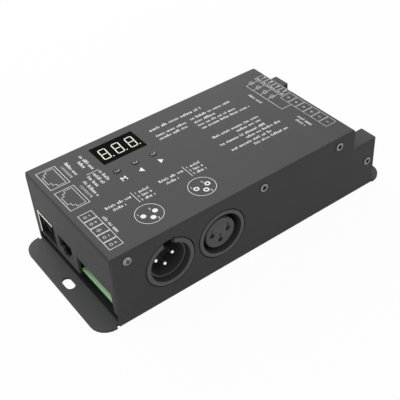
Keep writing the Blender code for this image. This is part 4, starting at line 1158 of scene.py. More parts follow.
@dataclass
class LidPrint:
    """White legends and diagrams on the lid, without words."""

    level: float
    stroke: float = 0.28 * MM
    fine_stroke: float = 0.22 * MM
    frame_stroke: float = 0.17 * MM
    print_height: float = 1.65 * MM
    legend_drop: float = 6.4 * MM
    legend_shifts: tuple[float, ...] = (-0.3 * MM, -0.9 * MM, 0.3 * MM)
    letter_height: float = 2.7 * MM
    letter_weight: float = 0.06 * MM
    arrow_width: float = 2.1 * MM
    arrow_height: float = 3.3 * MM
    arrow_lift: float = 0.25 * MM
    digit_height: float = 1.35 * MM
    icon_low: Point = (-69.0 * MM, 16.35 * MM)
    icon_size: Point = (9.15 * MM, 14.05 * MM)
    icon_pitch: float = 17.0 * MM
    icon_margin: float = 1.35 * MM
    icon_steps: tuple[Point, ...] = ((4.0 * MM, 6.0 * MM), (5.4 * MM, 4.5 * MM), (6.8 * MM, 2.75 * MM))
    icon_contacts: int = 8
    icon_contact_pitch: float = 1.27 * MM
    icon_digit_gap: float = 2.1 * MM
    icon_digit_share: float = 0.85
    strip_low: Point = (-68.6 * MM, -30.5 * MM)
    strip_cell: Point = (6.2 * MM, 4.65 * MM)
    strip_pitch: float = 5.05 * MM
    strip_sign: Point = (4.1 * MM, 1.1 * MM)
    strip_ring: Point = (2.1 * MM, 0.6 * MM)
    strip_ground: float = 2.6 * MM
    ground_length: float = 2.0 * MM
    ground_step: float = 0.6 * MM
    ground_stem: Point = (-0.8 * MM, 0.9 * MM)
    circle_radius: float = 6.05 * MM
    circle_y: float = -22.75 * MM
    circle_shift: float = 0.1 * MM
    contact_circle: float = 2.85 * MM
    contact_dot: float = 1.2 * MM
    contact_nudge: float = 0.1 * MM
    contact_labels: tuple[Point, ...] = (
        (-1.3 * MM, 1.9 * MM),
        (1.6 * MM, -1.7 * MM),
        (-1.2 * MM, 2.2 * MM),
    )
    open_contact: float = 0.8
    open_contact_line: float = 2.4
    caption_from_circle: Point = (-12.3 * MM, 13.95 * MM)
    caption_rows: tuple[float, ...] = (12.2 * MM, 6.4 * MM)
    caption_second: Point = (2.0 * MM, -2.7 * MM)
    caption_bar: Point = (13.4 * MM, -1.8 * MM)
    caption_bar_length: float = 8.0 * MM
    caption_digit_gap: float = 1.5 * MM
    caption_list_gap: float = 3.0 * MM
    caption_list: float = 4.9 * MM
    caption_list_lift: float = 0.4 * MM
    caption_list_pitch: float = 2.6 * MM
    output_low: Point = (51.0 * MM, 6.9 * MM)
    output_cell: Point = (5.7 * MM, 4.75 * MM)
    output_pitch: float = 5.2 * MM
    output_bar_x: float = 4.6 * MM
    output_bar: Point = (1.3 * MM, 0.5 * MM)
    output_digit_x: float = 3.2 * MM
    output_digit_share: float = 1.1
    output_print: Point = (1.3 * MM, -0.6 * MM)
    output_print_length: float = 3.3 * MM
    output_print_height: float = 1.2 * MM
    supply_top: Point = (49.5 * MM, 6.1 * MM)
    supply_cell: Point = (6.1 * MM, 4.9 * MM)
    supply_pitch: float = 5.3 * MM
    supply_sign: float = 1.5 * MM
    outputs: int = 4
    common_x: float = 43.7 * MM
    diode_x: float = 47.2 * MM
    diode: float = 0.95 * MM
    diode_bar: float = 2.2
    common_turn: float = 0.2 * MM
    ray: float = 0.7 * MM
    ray_from_diode: Point = (-0.3 * MM, 1.2 * MM)
    ray_gap: float = 0.9 * MM
    title_height: float = 1.9 * MM
    rule_middle: Point = (-49.0 * MM, 15.7 * MM)
    rule_length: float = 6.0 * MM
    pen: Pen = field(init=False)
    dim: Pen = field(init=False)

    def __post_init__(self) -> None:
        """Takes up two pens, one for each shade of ink."""
        self.pen = Pen(self.level, self.stroke)
        self.dim = Pen(self.level, self.fine_stroke)

    def build(self) -> None:
        """Draws every group and adds the two inks as pieces."""
        self.key_legends()
        self.jack_icons()
        self.signal_strip()
        self.xlr_circles()
        self.output_row()
        self.load_diagram()
        self.small_print()
        piece("lid_print_white", self.pen.finish(), INK)
        piece("lid_print_grey", self.dim.finish(), DIM_INK)

    def cell(self, pen: Pen, low: Point, size: Point, width: float) -> Point:
        """Draws a box.

        Args:
            pen: what it is drawn with.
            low: its lowest corner.
            size: its width and height.
            width: width of its line.

        Returns:
            Its middle.
        """
        high = (low[0] + size[0], low[1] + size[1])
        pen.frame(low, high, width)
        return (low[0] + high[0]) / 2, (low[1] + high[1]) / 2

    def sign(self, mark: str, centre: Point, size: float) -> None:
        """Draws a plus or a minus.

        Args:
            mark: the sign.
            centre: its middle.
            size: its width.
        """
        self.pen.bar(centre, size, self.fine_stroke, 90)
        if mark == "+":
            self.pen.bar(centre, size, self.fine_stroke)

    def key_legends(self) -> None:
        """Draws M and the two arrows below the buttons."""
        rise = self.arrow_height / 2
        for label, shift, tip in zip(("menu", "left", "right"), self.legend_shifts, (0, -1, 1)):
            button = middle_of(label + "_button")
            x = button.x + shift
            y = button.y - self.legend_drop
            if not tip:
                self.pen.text("M", (x, y), self.letter_height, weight=self.letter_weight)
                continue
            y += self.arrow_lift
            half = tip * self.arrow_width / 2
            corners = [(x + half, y), (x - half, y + rise), (x - half, y - rise)]
            self.pen.slab(corners if tip < 0 else corners[::-1])

    def jack_icons(self) -> None:
        """Draws a jack's mouth in a frame, twice, with its contact numbers."""
        for index in range(2):
            low = (self.icon_low[0], self.icon_low[1] - index * self.icon_pitch)
            middle = self.cell(self.pen, low, self.icon_size, self.fine_stroke)[1]
            edge = low[0] + self.icon_size[0]
            x = flat = edge - self.icon_margin
            outline = []
            for depth, half in self.icon_steps:
                outline += [(x, middle + half), (flat - depth, middle + half)]
                x = flat - depth
            outline += [(x, 2 * middle - y) for x, y in reversed(outline)]
            self.dim.stroke(outline, closed=True)
            for number in range(self.icon_contacts):
                y = middle + ((self.icon_contacts - 1) / 2 - number) * self.icon_contact_pitch
                spot = (edge + self.icon_digit_gap, y)
                self.dim.text(str(number + 1), spot, self.digit_height * self.icon_digit_share, -90)

    def signal_strip(self) -> None:
        """Draws five boxes with polarity marks, one for each way of the signal header."""
        x = self.strip_low[0]
        for index, mark in enumerate(("+", "-", "", "+", "-")):
            low = (x, self.strip_low[1] + index * self.strip_pitch)
            middle = self.cell(self.pen, low, self.strip_cell, self.fine_stroke)[1]
            if mark:
                self.sign(mark, (x + self.strip_sign[0], middle), self.strip_sign[1])
                self.dim.ring((x + self.strip_ring[0], middle), self.strip_ring[1])
            else:
                self.ground((x + self.strip_ground, middle))

    def ground(self, centre: Point) -> None:
        """Draws an earth symbol of three shrinking bars and a stem.

        Args:
            centre: middle of the symbol.
        """
        for index in range(3):
            x = centre[0] + (index - 0.5) * self.ground_step
            length = self.ground_length - index * self.ground_step
            self.dim.bar((x, centre[1]), length, self.fine_stroke, 90)
        shift, length = self.ground_stem
        self.dim.bar((centre[0] + shift, centre[1]), length, self.fine_stroke)

    def xlr_circles(self) -> None:
        """Draws the face of each XLR connector above it, with its contact numbers."""
        spread, nudge = self.contact_circle, self.contact_nudge
        places = ((-spread, nudge), (nudge, -spread), (spread, nudge))
        line = self.open_contact_line * self.stroke
        for node, filled in (("male_xlr_housing", True), ("female_xlr_housing", False)):
            centre = (middle_of(node).x - self.circle_shift, self.circle_y)
            self.pen.ring(centre, self.circle_radius, self.fine_stroke)
            for number, place, label in zip("132", places, self.contact_labels):
                spot = moved(centre, place)
                if filled:
                    self.pen.dot(spot, self.contact_dot)
                else:
                    self.pen.ring(spot, self.contact_dot * self.open_contact, line)
                self.dim.text(number, moved(spot, label), self.digit_height)
            self.caption(moved(centre, self.caption_from_circle))

    def caption(self, start: Point) -> None:
        """Draws a connector's caption: two rows, an upright bar and three short rows.

        Args:
            start: where its first row starts.
        """
        rows = zip((start, moved(start, self.caption_second)), self.caption_rows)
        for seed, (place, length) in enumerate(rows, 11):
            self.dim.ticks(place, length, 0, seed, self.print_height)
        bar = moved(start, self.caption_bar)
        self.pen.bar(bar, self.caption_bar_length, self.fine_stroke, 90)
        for index in range(3):
            y = start[1] + self.caption_list_lift - index * self.caption_list_pitch
            self.dim.text(str(index + 1), (bar[0] + self.caption_digit_gap, y), self.digit_height)
            first = (bar[0] + self.caption_list_gap, y)
            self.dim.ticks(first, self.caption_list, 0, 20 + index, self.print_height)

    def output_row(self) -> None:
        """Draws the ten boxes of the power terminal: four outputs, then six supply ways."""
        for index in range(self.outputs):
            x, y = self.output_low[0], self.output_low[1] + index * self.output_pitch
            middle = self.cell(self.dim, (x, y), self.output_cell, self.frame_stroke)[1]
            self.pen.bar((x + self.output_bar_x, middle), *self.output_bar, -90)
            number, spot = str(self.outputs - index), (x + self.output_digit_x, middle)
            self.dim.text(number, spot, self.digit_height * self.output_digit_share, -90)
            start = moved((x, y + self.output_cell[1]), self.output_print)
            self.dim.ticks(start, self.output_print_length, -90, 70 + index, self.output_print_height)
        for index, mark in enumerate("++++--"):
            y = self.supply_top[1] - index * self.supply_pitch - self.supply_cell[1]
            low = (self.supply_top[0], y)
            middle = self.cell(self.dim, low, self.supply_cell, self.frame_stroke)
            self.sign(mark, middle, self.supply_sign)

    def load_diagram(self) -> None:
        """Draws four light-emitting diodes between the outputs and the common supply line."""
        common, x, size = self.common_x, self.diode_x, self.diode
        first = self.output_low[1] + self.output_cell[1] / 2
        for index in range(self.outputs):
            y = first + index * self.output_pitch
            self.dim.stroke([(common, y), (x - size, y)])
            self.dim.stroke([(x + size, y), (self.output_low[0], y)])
            self.dim.stroke([(x - size, y + size), (x - size, y - size), (x + size, y)], closed=True)
            self.dim.bar((x + size, y), self.diode_bar * size, self.fine_stroke, 90)
            for shift in (0.0, self.ray_gap):
                start = moved((x + shift, y), self.ray_from_diode)
                self.dim.stroke([start, moved(start, (self.ray, self.ray))])
        top = first + (self.outputs - 1) * self.output_pitch
        turn_y = self.supply_top[1] - 1.5 * self.supply_pitch + self.common_turn
        self.dim.stroke([(common, top), (common, turn_y), (self.supply_top[0], turn_y)])

    def small_print(self) -> None:
        """Draws rows of plain ticks where small print would stand: start, length and direction."""
        rows = (
            ((-13.4, 24.8), 29.0, 0),
            ((-13.4, 19.4), 16.5, 0),
            ((-13.4, 16.5), 15.1, 0),
            ((6.2, 19.9), 22.8, 0),
            ((6.2, 16.6), 11.3, 0),
            ((6.2, 13.6), 21.0, 0),
            ((6.2, 10.7), 27.2, 0),
            ((5.3, 1.5), 25.8, 0),
            ((16.6, -1.4), 14.9, 0),
            ((4.7, -5.1), 24.7, 0),
            ((16.9, -8.0), 19.4, 0),
            ((6.2, -11.2), 23.2, 0),
            ((16.7, -14.1), 19.3, 0),
            ((-55.0, 29.3), 11.4, -90),
            ((-55.0, 12.6), 12.0, -90),
            ((-47.5, 29.5), 12.0, -90),
            ((-50.0, 26.1), 4.8, -90),
            ((-46.1, 14.6), 7.1, -90),
            ((-49.0, 14.6), 8.6, -90),
            ((-51.9, 14.3), 8.0, -90),
            ((-60.4, -12.3), 11.7, -90),
            ((45.6, -10.8), 9.1, -90),
            ((43.2, -12.3), 6.0, -90),
            ((40.0, 17.9), 9.2, -90),
        )
        height = self.title_height
        for seed, ((x, y), length, turn) in enumerate(rows, 40):
            self.dim.ticks((x * MM, y * MM), length * MM, turn, seed, height)
            height = self.print_height
        self.pen.bar(self.rule_middle, self.rule_length, self.fine_stroke)


@dataclass
class Display:
    """Three-digit display: a black body and its lit segments."""

    body_edge: float = 0.1 * MM
    digits: int = 3
    digit_height: float = 8.0 * MM
    digit_width: float = 3.85 * MM
    digit_pitch: float = 6.98 * MM
    shift: Point = (0.1 * MM, 0.2 * MM)
    stroke: float = 0.44 * MM
    gap: float = 0.08 * MM
    lean: float = 0.062
    dot_radius: float = 0.30 * MM
    dot_sides: int = 16
    dot_gap: float = 0.65 * MM
    raised: float = 0.02 * MM

    def build(self) -> None:
        """Builds the body, the segments and the points."""
        eased_copy("display_module", DISPLAY_BODY, self.body_edge)
        low, high = span_of("display_module")
        middle = (low + high) / 2
        first = (middle.x + self.shift[0] - self.digit_pitch, middle.y + self.shift[1])
        digit = joined("digit", [*self.segments(first, high.z), self.point(first, high.z)])
        step = (self.digit_pitch, 0.0, 0.0)
        piece("display_segments", row(digit, self.digits, step, LIT_SEGMENT), LIT_SEGMENT)

    def segments(self, centre: Point, level: float) -> list[Mesh]:
        """Makes the seven segments of one digit, each with mitred ends.

        Args:
            centre: the digit's middle.
            level: height of the display's face.

        Returns:
            One closed mesh for each segment.
        """
        half = self.stroke / 2
        right = self.digit_width / 2 - half
        top = self.digit_height / 2 - half
        ends = [((-right, y), (right, y)) for y in (top, 0.0, -top)]
        ends += [((x, y), (x, y + top)) for y in (0.0, -top) for x in (-right, right)]
        meshes = []
        for start, end in ends:
            along = (Vector(end) - Vector(start)).normalized()
            across = Vector((-along.y, along.x)) * half
            first = Vector(start) + along * self.gap
            last = Vector(end) - along * self.gap
            corners = [first, first + along * half - across, last - along * half - across]
            corners += [last, last - along * half + across, first + along * half + across]
            outline = [(centre[0] + c.x + self.lean * c.y, centre[1] + c.y) for c in corners]
            meshes.append(prism("segment", outline, -self.raised, self.raised, (0.0, 0.0, level)))
        return meshes

    def point(self, centre: Point, level: float) -> Mesh:
        """Makes the decimal point of one digit.

        Args:
            centre: the digit's middle.
            level: height of the display's face.

        Returns:
            The closed point.
        """
        x = centre[0] + self.digit_width / 2 + self.dot_gap
        y = centre[1] - self.digit_height / 2 + self.stroke / 2
        outline = ring_of_points(self.dot_sides, self.dot_radius)
        return prism("point", outline, -self.raised, self.raised, (x, y, level))


@dataclass
class Keys:
    """Three push buttons with dished tops, each on its own body, and their switches."""

    proud: float = 0.35 * MM
    rim: float = 0.35 * MM
    dish: float = 0.32 * MM
    dish_rings: int = 8
    switch_edge: float = 0.1 * MM
    sides: int = 48
    labels: tuple[str, ...] = ("menu", "left", "right")

    def build(self) -> None:
        """Builds the buttons and softens the switches."""
        for label in self.labels:
            low, high = span_of(f"{label}_button")
            middle = (low + high) / 2
            radius = (high.x - low.x) / 2
            hollow = radius - self.rim
            profile = [(0.0, self.proud - self.dish)]
            for ring in range(1, self.dish_rings + 1):
                share = ring / self.dish_rings
                profile.append((hollow * share, self.proud - self.dish * (1 - share * share)))
            profile += arc((radius - self.rim / 2, self.proud - self.rim / 2), self.rim / 2, 90, 0)
            profile += [(radius, low.z - high.z), (0.0, low.z - high.z)]
            mesh = turned("cap", profile, self.sides, (middle.x, middle.y, high.z), Facing.UP)
            cap = smoothed(mesh, SOFT_SHADING)
            piece(f"{label}_key_cap", cap, KEY_PLASTIC, f"{label}_key", (f"{label}_button",))
            eased_copy(f"{label}_switch", BLACK_PLASTIC, self.switch_edge)


@dataclass
class XlrPair:
    """Male and female XLR connectors, with their shells, inserts and contacts."""

    ring_radius: float = 11.7 * MM
    male_cup: float = 9.8 * MM
    female_cup: float = 10.05 * MM
    stands_out: float = 0.3 * MM
    edge: float = 0.35 * MM
    cup_depth: float = 15.0 * MM
    shell_depth: float = 22.0 * MM
    key_gap: float = 5.4 * MM
    key_gap_depth: float = 7.0 * MM
    keyway_rim: float = 1.2 * MM
    keyway_step: float = 0.9 * MM
    keyway_shade: float = 2.2 * MM
    flange_side: float = XLR_FLANGE
    flange_front: float = 1.5 * MM
    flange_thickness: float = 3.0 * MM
    flange_corner: float = 2.0 * MM
    foot_width: float = 20.0 * MM
    foot_depth: float = 20.8 * MM
    lining: float = 0.15 * MM
    contact_drop: float = 0.5 * MM
    liner_radius: float = 8.45 * MM
    liner_depth: float = 2.4 * MM
    liner_edge: float = 0.25 * MM
    lip_lap: float = 0.05 * MM
    lip_rise: float = 0.15 * MM
    lip_drop: float = 0.3 * MM
    lip_width: float = 0.3 * MM
    base_thickness: float = 3.0 * MM
    face_radius: float = 7.6 * MM
    face_depth: float = 1.3 * MM
    face_edge: float = 0.4 * MM
    contact_circle: float = 4.2 * MM
    pin_radius: float = 1.15 * MM
    pin_depth: float = 4.3 * MM
    hole_depth: float = 9.0 * MM
    lead_in: float = 0.4 * MM
    sleeve_inner: float = 0.25 * MM
    sleeve_outer: float = 0.02 * MM
    sleeve_drop: float = 3.2 * MM
    sleeve_length: float = 6.0 * MM
    number_size: float = 2.9 * MM
    number_weight: float = 0.10 * MM
    number_thickness: float = 0.12 * MM
    number_shift: Point = (-0.1 * MM, 2.7 * MM)
    fit: float = 0.3 * MM
    sides: int = 96
    contact_sides: int = 48
    sleeve_sides: int = 32

    def build(self) -> None:
        """Builds both connectors."""
        self.male()
        self.female()

    def centre(self, node: str) -> Place:
        """Gives x, the wall's outer face and z of a connector's axis."""
        low, high = span_of(node)
        return ((low.x + high.x) / 2, low.y + self.stands_out, high.z - self.flange_side / 2)

    def cup_radius(self, node: str) -> float:
        """Gives the cup radius of the connector that a node belongs to."""
        return self.male_cup if node.startswith("male") else self.female_cup

    def keyway(self, node: str, level: float) -> Mesh:
        """Makes the cutter of the key gap.

        Args:
            node: the connector's housing.
            level: where it starts above the axis, from which it runs outwards.

        Returns:
            The cutter.
        """
        x, wall, z = self.centre(node)
        half = self.key_gap / 2
        return cuboid(
            "keyway",
            (x - half, wall - self.fit * 3, z + level),
            (x + half, wall + self.key_gap_depth, z + self.ring_radius + 3 * self.fit),
        )

    def shell(self, node: str) -> Mesh:
        """Makes a connector's shell with its flange and foot.

        Args:
            node: the CAD node that it stands for.

        Returns:
            The joined mesh.
        """
        x, wall, z = axis = self.centre(node)
        low, high = span_of(node)
        cup, ring, edge = self.cup_radius(node), self.ring_radius, self.edge
        face = self.stands_out - edge
        profile = [(0.0, -self.cup_depth), (cup, -self.cup_depth)]
        profile += arc((cup + edge, face), edge, 180, 90)
        profile += arc((ring - edge, face), edge, 90, 0)
        profile += [(ring, -self.shell_depth), (0.0, -self.shell_depth)]
        half = self.flange_side / 2
        corner = self.flange_corner
        square = []
        for start, (sx, sz) in zip((0, 90, 180, 270), ((1, 1), (-1, 1), (-1, -1), (1, -1))):
            top = (high.z - z) if sz > 0 else (z - low.z)
            square += arc((sx * (half - corner), sz * (top - corner)), corner, start, start + 90, 5)
        back = -(self.flange_front + self.flange_thickness)
        flange = prism("flange", square, back, -self.flange_front, axis, Facing.FRONT)
        foot_half = self.foot_width / 2
        foot_start = wall + self.flange_front + self.flange_thickness / 2
        foot = cuboid(
            "foot",
            (x - foot_half, foot_start, low.z),
            (x + foot_half, wall + self.foot_depth, z - cup / 2),
        )
        opening = ring_of_points(self.sides, cup + self.fit)
        bore = prism("bore", opening, -2 * self.shell_depth, self.shell_depth, axis, Facing.FRONT)
        behind = [cut(part, bore.copy()) for part in (flange, foot)]
        return combined(turned("ring", profile, self.sides, axis), "UNION", *behind)

    def contacts(self, node: str) -> list[Place]:
        """Gives the contacts' places on the wall's plane.

        Args:
            node: the connector's housing.

        Returns:
            The right, the left and the low contact.
        """
        x, wall, z = self.centre(node)
        reach = self.contact_circle
        level = z - self.contact_drop
        return [(x + reach, wall, level), (x - reach, wall, level), (x, wall, level - reach)]

    def tube(self, place: Place, radii: Point, levels: Point, sides: int) -> Mesh:
        """Makes a plain tube that runs back from the wall.

        Args:
            place: where its axis meets the wall's plane.
            radii: its inner and outer radius.
            levels: its back and front level.
            sides: faces round its axis.

        Returns:
            The closed tube.
        """
        (inner, outer), (back, front) = radii, levels
        profile = [(inner, back), (inner, front), (outer, front), (outer, back)]
        return turned("tube", profile, sides, place, hollow=True)

    def bore_lining(self, node: str) -> None:
        """Lines a cup with a thin dark sheet, which is painted shade inside the bore.

        Args:
            node: the connector's housing.
        """
        inner = self.cup_radius(node) - self.lining
        outer = self.cup_radius(node) + self.lining / 2
        top = self.stands_out - self.edge / 2
        bottom = -self.cup_depth + self.lining
        lining = self.tube(self.centre(node), (inner, outer), (bottom, top), self.sides)
        if node.startswith("male"):
            lining = cut(lining, self.keyway(node, self.male_cup / 2))
        piece(node.replace("housing", "lining"), smoothed(lining), BORE_SHADE)

    def drills(self, places: Iterable[Place], radius: float, depth: float) -> list[Mesh]:
        """Makes round cutters that run back from the wall.

        Args:
            places: where they stand.
            radius: their radius.
            depth: how far they reach below the wall's plane.

        Returns:
            One mesh for each place.
        """
        outline = ring_of_points(self.contact_sides, radius)
        return [prism("drill", outline, -depth, 0.0, place, Facing.FRONT) for place in places]

    def male(self) -> None:
        """Builds the male connector, whose ring has a key gap."""
        node = "male_xlr_housing"
        shell = cut(self.shell(node), self.keyway(node, self.male_cup - self.keyway_rim))
        piece("male_xlr_shell", smoothed(shell), GREY_SHELL, stands_for=(node,))
        self.bore_lining(node)
        bottom = -self.cup_depth + self.fit
        floor = bottom + self.base_thickness
        outer = self.male_cup - self.fit
        edge = self.liner_edge
        face = -self.liner_depth - edge
        profile = [(0.0, floor), (self.liner_radius, floor)]
        profile += arc((self.liner_radius + edge, face), edge, 180, 90, 3)
        profile += arc((outer - edge, face), edge, 90, 0, 3)
        profile += [(outer, bottom), (0.0, bottom)]
        liner = turned("liner", profile, self.sides, self.centre(node))
        places = self.contacts(node)
        holes = self.drills(places, self.pin_radius + self.fit / 2, self.cup_depth)
        keyway_floor = self.liner_radius - self.keyway_step
        liner = cut(liner, self.keyway(node, keyway_floor), *holes)
        piece("male_xlr_liner", smoothed(liner), LINER_PLASTIC, stands_for=("male_xlr_insert",))
        self.add_lip_highlight_and_keyway_shade(node, keyway_floor)
        tip = -self.pin_depth
        pin = [(0.0, tip)]
        pin += arc((0.0, tip - self.pin_radius), self.pin_radius, 80, 0, 8)
        pin += [(self.pin_radius, bottom), (0.0, bottom)]
        for index, place in enumerate(places, 1):
            mesh = smoothed(turned("pin", pin, self.contact_sides, place), SOFT_SHADING)
            piece(f"male_xlr_contact_{index}", mesh, SILVER, stands_for=(f"male_xlr_pin_{index}",))

    def add_lip_highlight_and_keyway_shade(self, node: str, keyway_floor: float) -> None:
        """Adds the liner's lip of painted highlight and a block of painted shade in the key gap.

        Args:
            node: the connector's housing.
            keyway_floor: where the key gap starts above the axis.
        """
        inner = self.liner_radius - self.lip_lap
        top = -self.liner_depth + self.lip_rise
        below = -self.liner_depth - self.lip_drop
        radii = (inner, inner + self.lip_width)
        lip = self.tube(self.centre(node), radii, (below, top), self.sides)
        piece("male_xlr_lip_highlight", smoothed(cut(lip, self.keyway(node, keyway_floor))), LIP_HIGHLIGHT)
        x, wall, z = self.centre(node)
        half = self.key_gap / 2 + self.lining / 2
        stop = cuboid(
            "keyway_shade",
            (x - half, wall + self.keyway_shade, z + keyway_floor - self.lining),
            (x + half, wall + self.key_gap_depth + self.lining, z + self.ring_radius + 2 * self.fit),
        )
        piece("male_xlr_keyway_shade", stop, KEYWAY_SHADE_PAINT)

    def female(self) -> None:
        """Builds the female connector, whose insert has three sleeved holes."""
        node = "female_xlr_housing"
        x, wall, z = self.centre(node)
        piece("female_xlr_shell", smoothed(self.shell(node)), GREY_SHELL, stands_for=(node,))
        self.bore_lining(node)
        bottom = -self.cup_depth + self.fit
        base = bottom + self.base_thickness
        outer = self.female_cup - self.fit - self.contact_drop
        edge = self.face_edge
        face = -self.face_depth
        profile = [(0.0, face)]
        profile += arc((self.face_radius - edge, face - edge), edge, 90, 0)
        profile += [(self.face_radius, base), (outer, base), (outer, bottom), (0.0, bottom)]
        insert = turned("insert", profile, self.sides, (x, wall, z - self.contact_drop))
        places = self.contacts(node)
        holes = self.drills(places, self.pin_radius, self.face_depth + self.hole_depth)
        wide = self.pin_radius + self.lead_in
        below = face - self.lead_in
        cone = [(0.0, 0.0), (wide, 0.0), (wide, face), (self.pin_radius, below), (0.0, below)]
        mouths = [turned("lead_in", cone, self.contact_sides, place) for place in places]
        insert = smoothed(cut(insert, *holes, *mouths))
        piece("female_xlr_face", insert, GREY_PLASTIC, stands_for=("female_xlr_insert",))
        radii = (self.pin_radius - self.sleeve_inner, self.pin_radius - self.sleeve_outer)
        top = face - self.sleeve_drop
        levels = (top - self.sleeve_length, top)
        sleeves = [self.tube(place, radii, levels, self.sleeve_sides) for place in places]
        piece("female_xlr_sleeves", smoothed(joined("sleeves", sleeves), SOFT_SHADING), SHADED_GOLD)
        self.numbers(places)

    def numbers(self, places: Sequence[Place]) -> None:
        """Adds the small raised contact numbers on the insert's face.

        Args:
            places: the contacts' places on the wall's plane.
        """
        aside, above = self.number_shift
        meshes = []
        for number, (x, wall, z) in zip("213", places):
            mesh = lettering(number, self.number_size, self.number_thickness, self.number_weight)
            place = (x + aside, wall + self.face_depth, z + above)
            mesh.transform(facing_matrix(place, Facing.FRONT))
            meshes.append(mesh)
        piece("female_xlr_numbers", joined("numbers", meshes), BLACK_PLASTIC)


@dataclass
class Jacks:
    """Two shielded RJ45 jacks with eight gold contact wires each, painted near-black as shade."""

    contact_pitch: float = 1.02 * MM
    contacts: int = 8
    wire: float = 0.36 * MM
    wire_start: float = 1.2 * MM
    wire_top: float = 1.15 * MM
    wire_bends: tuple[float, ...] = (1.0 * MM, 8.6 * MM, 9.4 * MM)
    drop: float = 3.4 * MM
    insert_edge: float = 0.12 * MM
    front_edge: float = 0.06 * MM
    rear_edge: float = 0.05 * MM
    shield_top: float = 0.85 * MM
    near_wall: float = 0.1 * MM
    far_wall: float = 0.3 * MM
    shield_gap: float = 0.05 * MM
    throat_start: float = 0.15 * MM
    throat_low: float = 0.02 * MM
    throat_floor: float = 0.4 * MM
    throat_lap: float = 0.2 * MM
    throat_reach: float = 0.5 * MM
    labels: tuple[str, ...] = ("rear", "front")

    def build(self) -> None:
        """Builds the shields, the inserts and the rows of wires."""
        self.rear_shield()
        # The front shield gets the dark nickel copy: painted shade.
        eased_copy("front_jack_shield", SHADED_NICKEL, self.front_edge)
        for label in self.labels:
            eased_copy(f"{label}_jack_insert", BLACK_PLASTIC, self.insert_edge)
            low, high = span_of(f"{label}_jack_insert")
            first_y = (low.y + high.y) / 2 - (self.contacts - 1) / 2 * self.contact_pitch
            wire = self.contact_wire(low.x + self.wire_start, first_y, high.z - self.wire_top)
            wires = row(wire, self.contacts, (0.0, self.contact_pitch, 0.0), SHADED_JACK_WIRE)
            piece(f"{label}_jack_contacts", wires, SHADED_JACK_WIRE)

    def rear_shield(self) -> None:
        """Builds the shield that shows in the wall, with thin walls round an open front."""
        node = "rear_jack_shield"
        low, high = span_of(node)
        insert_low, insert_high = span_of("rear_jack_insert")
        opening = cuboid(
            "open_front",
            (low.x - CUT_PAST, insert_low.y + self.near_wall, insert_low.z),
            (insert_low.x - self.shield_gap, insert_high.y - self.far_wall, high.z - self.shield_top),
        )
        shield = eased(cut(merged(node), opening), self.rear_edge)
        piece(node + "_shown", shield, NICKEL, stands_for=(node,))
        # A near-black floor in the jack's throat is painted shade.
        lap = self.throat_lap
        throat = cuboid(
            "throat",
            (low.x + self.throat_start, insert_low.y - lap, low.z + self.throat_low),
            (insert_low.x + self.throat_reach, insert_high.y + lap, low.z + self.throat_floor),
        )
        piece("rear_jack_throat_shade", throat, FILM)

    def contact_wire(self, x: float, y: float, top: float) -> Mesh:
        """Makes one sprung wire that slopes back into the mouth.

        Args:
            x: where the wire starts, near the mouth.
            y: its middle.
            top: the level that it hangs from.

        Returns:
            The closed wire.
        """
        drops = (0.0, self.drop, self.drop)
        path = [(x, top), *((x + bend, top - drop) for bend, drop in zip(self.wire_bends, drops))]
        half = self.wire / 2
        outline = [(px, pz + half) for px, pz in path] + [(px, pz - half) for px, pz in reversed(path)]
        return prism("wire", outline, -half, half, (0.0, y, 0.0), Facing.FRONT)


@dataclass
class SignalHeader:
    """Five-way plug-in header with its pins."""

    ways: int = 5
    wall: float = 1.0 * MM
    cavity_depth: float = 8.5 * MM
    edge: float = 0.12 * MM

    def build(self) -> None:
        """Opens the header's ends and softens it and its pins."""
        node = "signal_header"
        low, high = span_of(node)
        opening = cuboid(
            "open_ends",
            (low.x - CUT_PAST, low.y - CUT_PAST, low.z + self.wall),
            (low.x + self.cavity_depth, high.y + CUT_PAST, high.z - self.wall),
        )
        header = eased(cut(merged(node), opening), self.edge)
        piece(node + "_shown", header, LIT_HEADER_GREEN, stands_for=(node,))
        for way in range(1, self.ways + 1):
            eased_copy(f"signal_pin_{way}", NICKEL, self.edge)


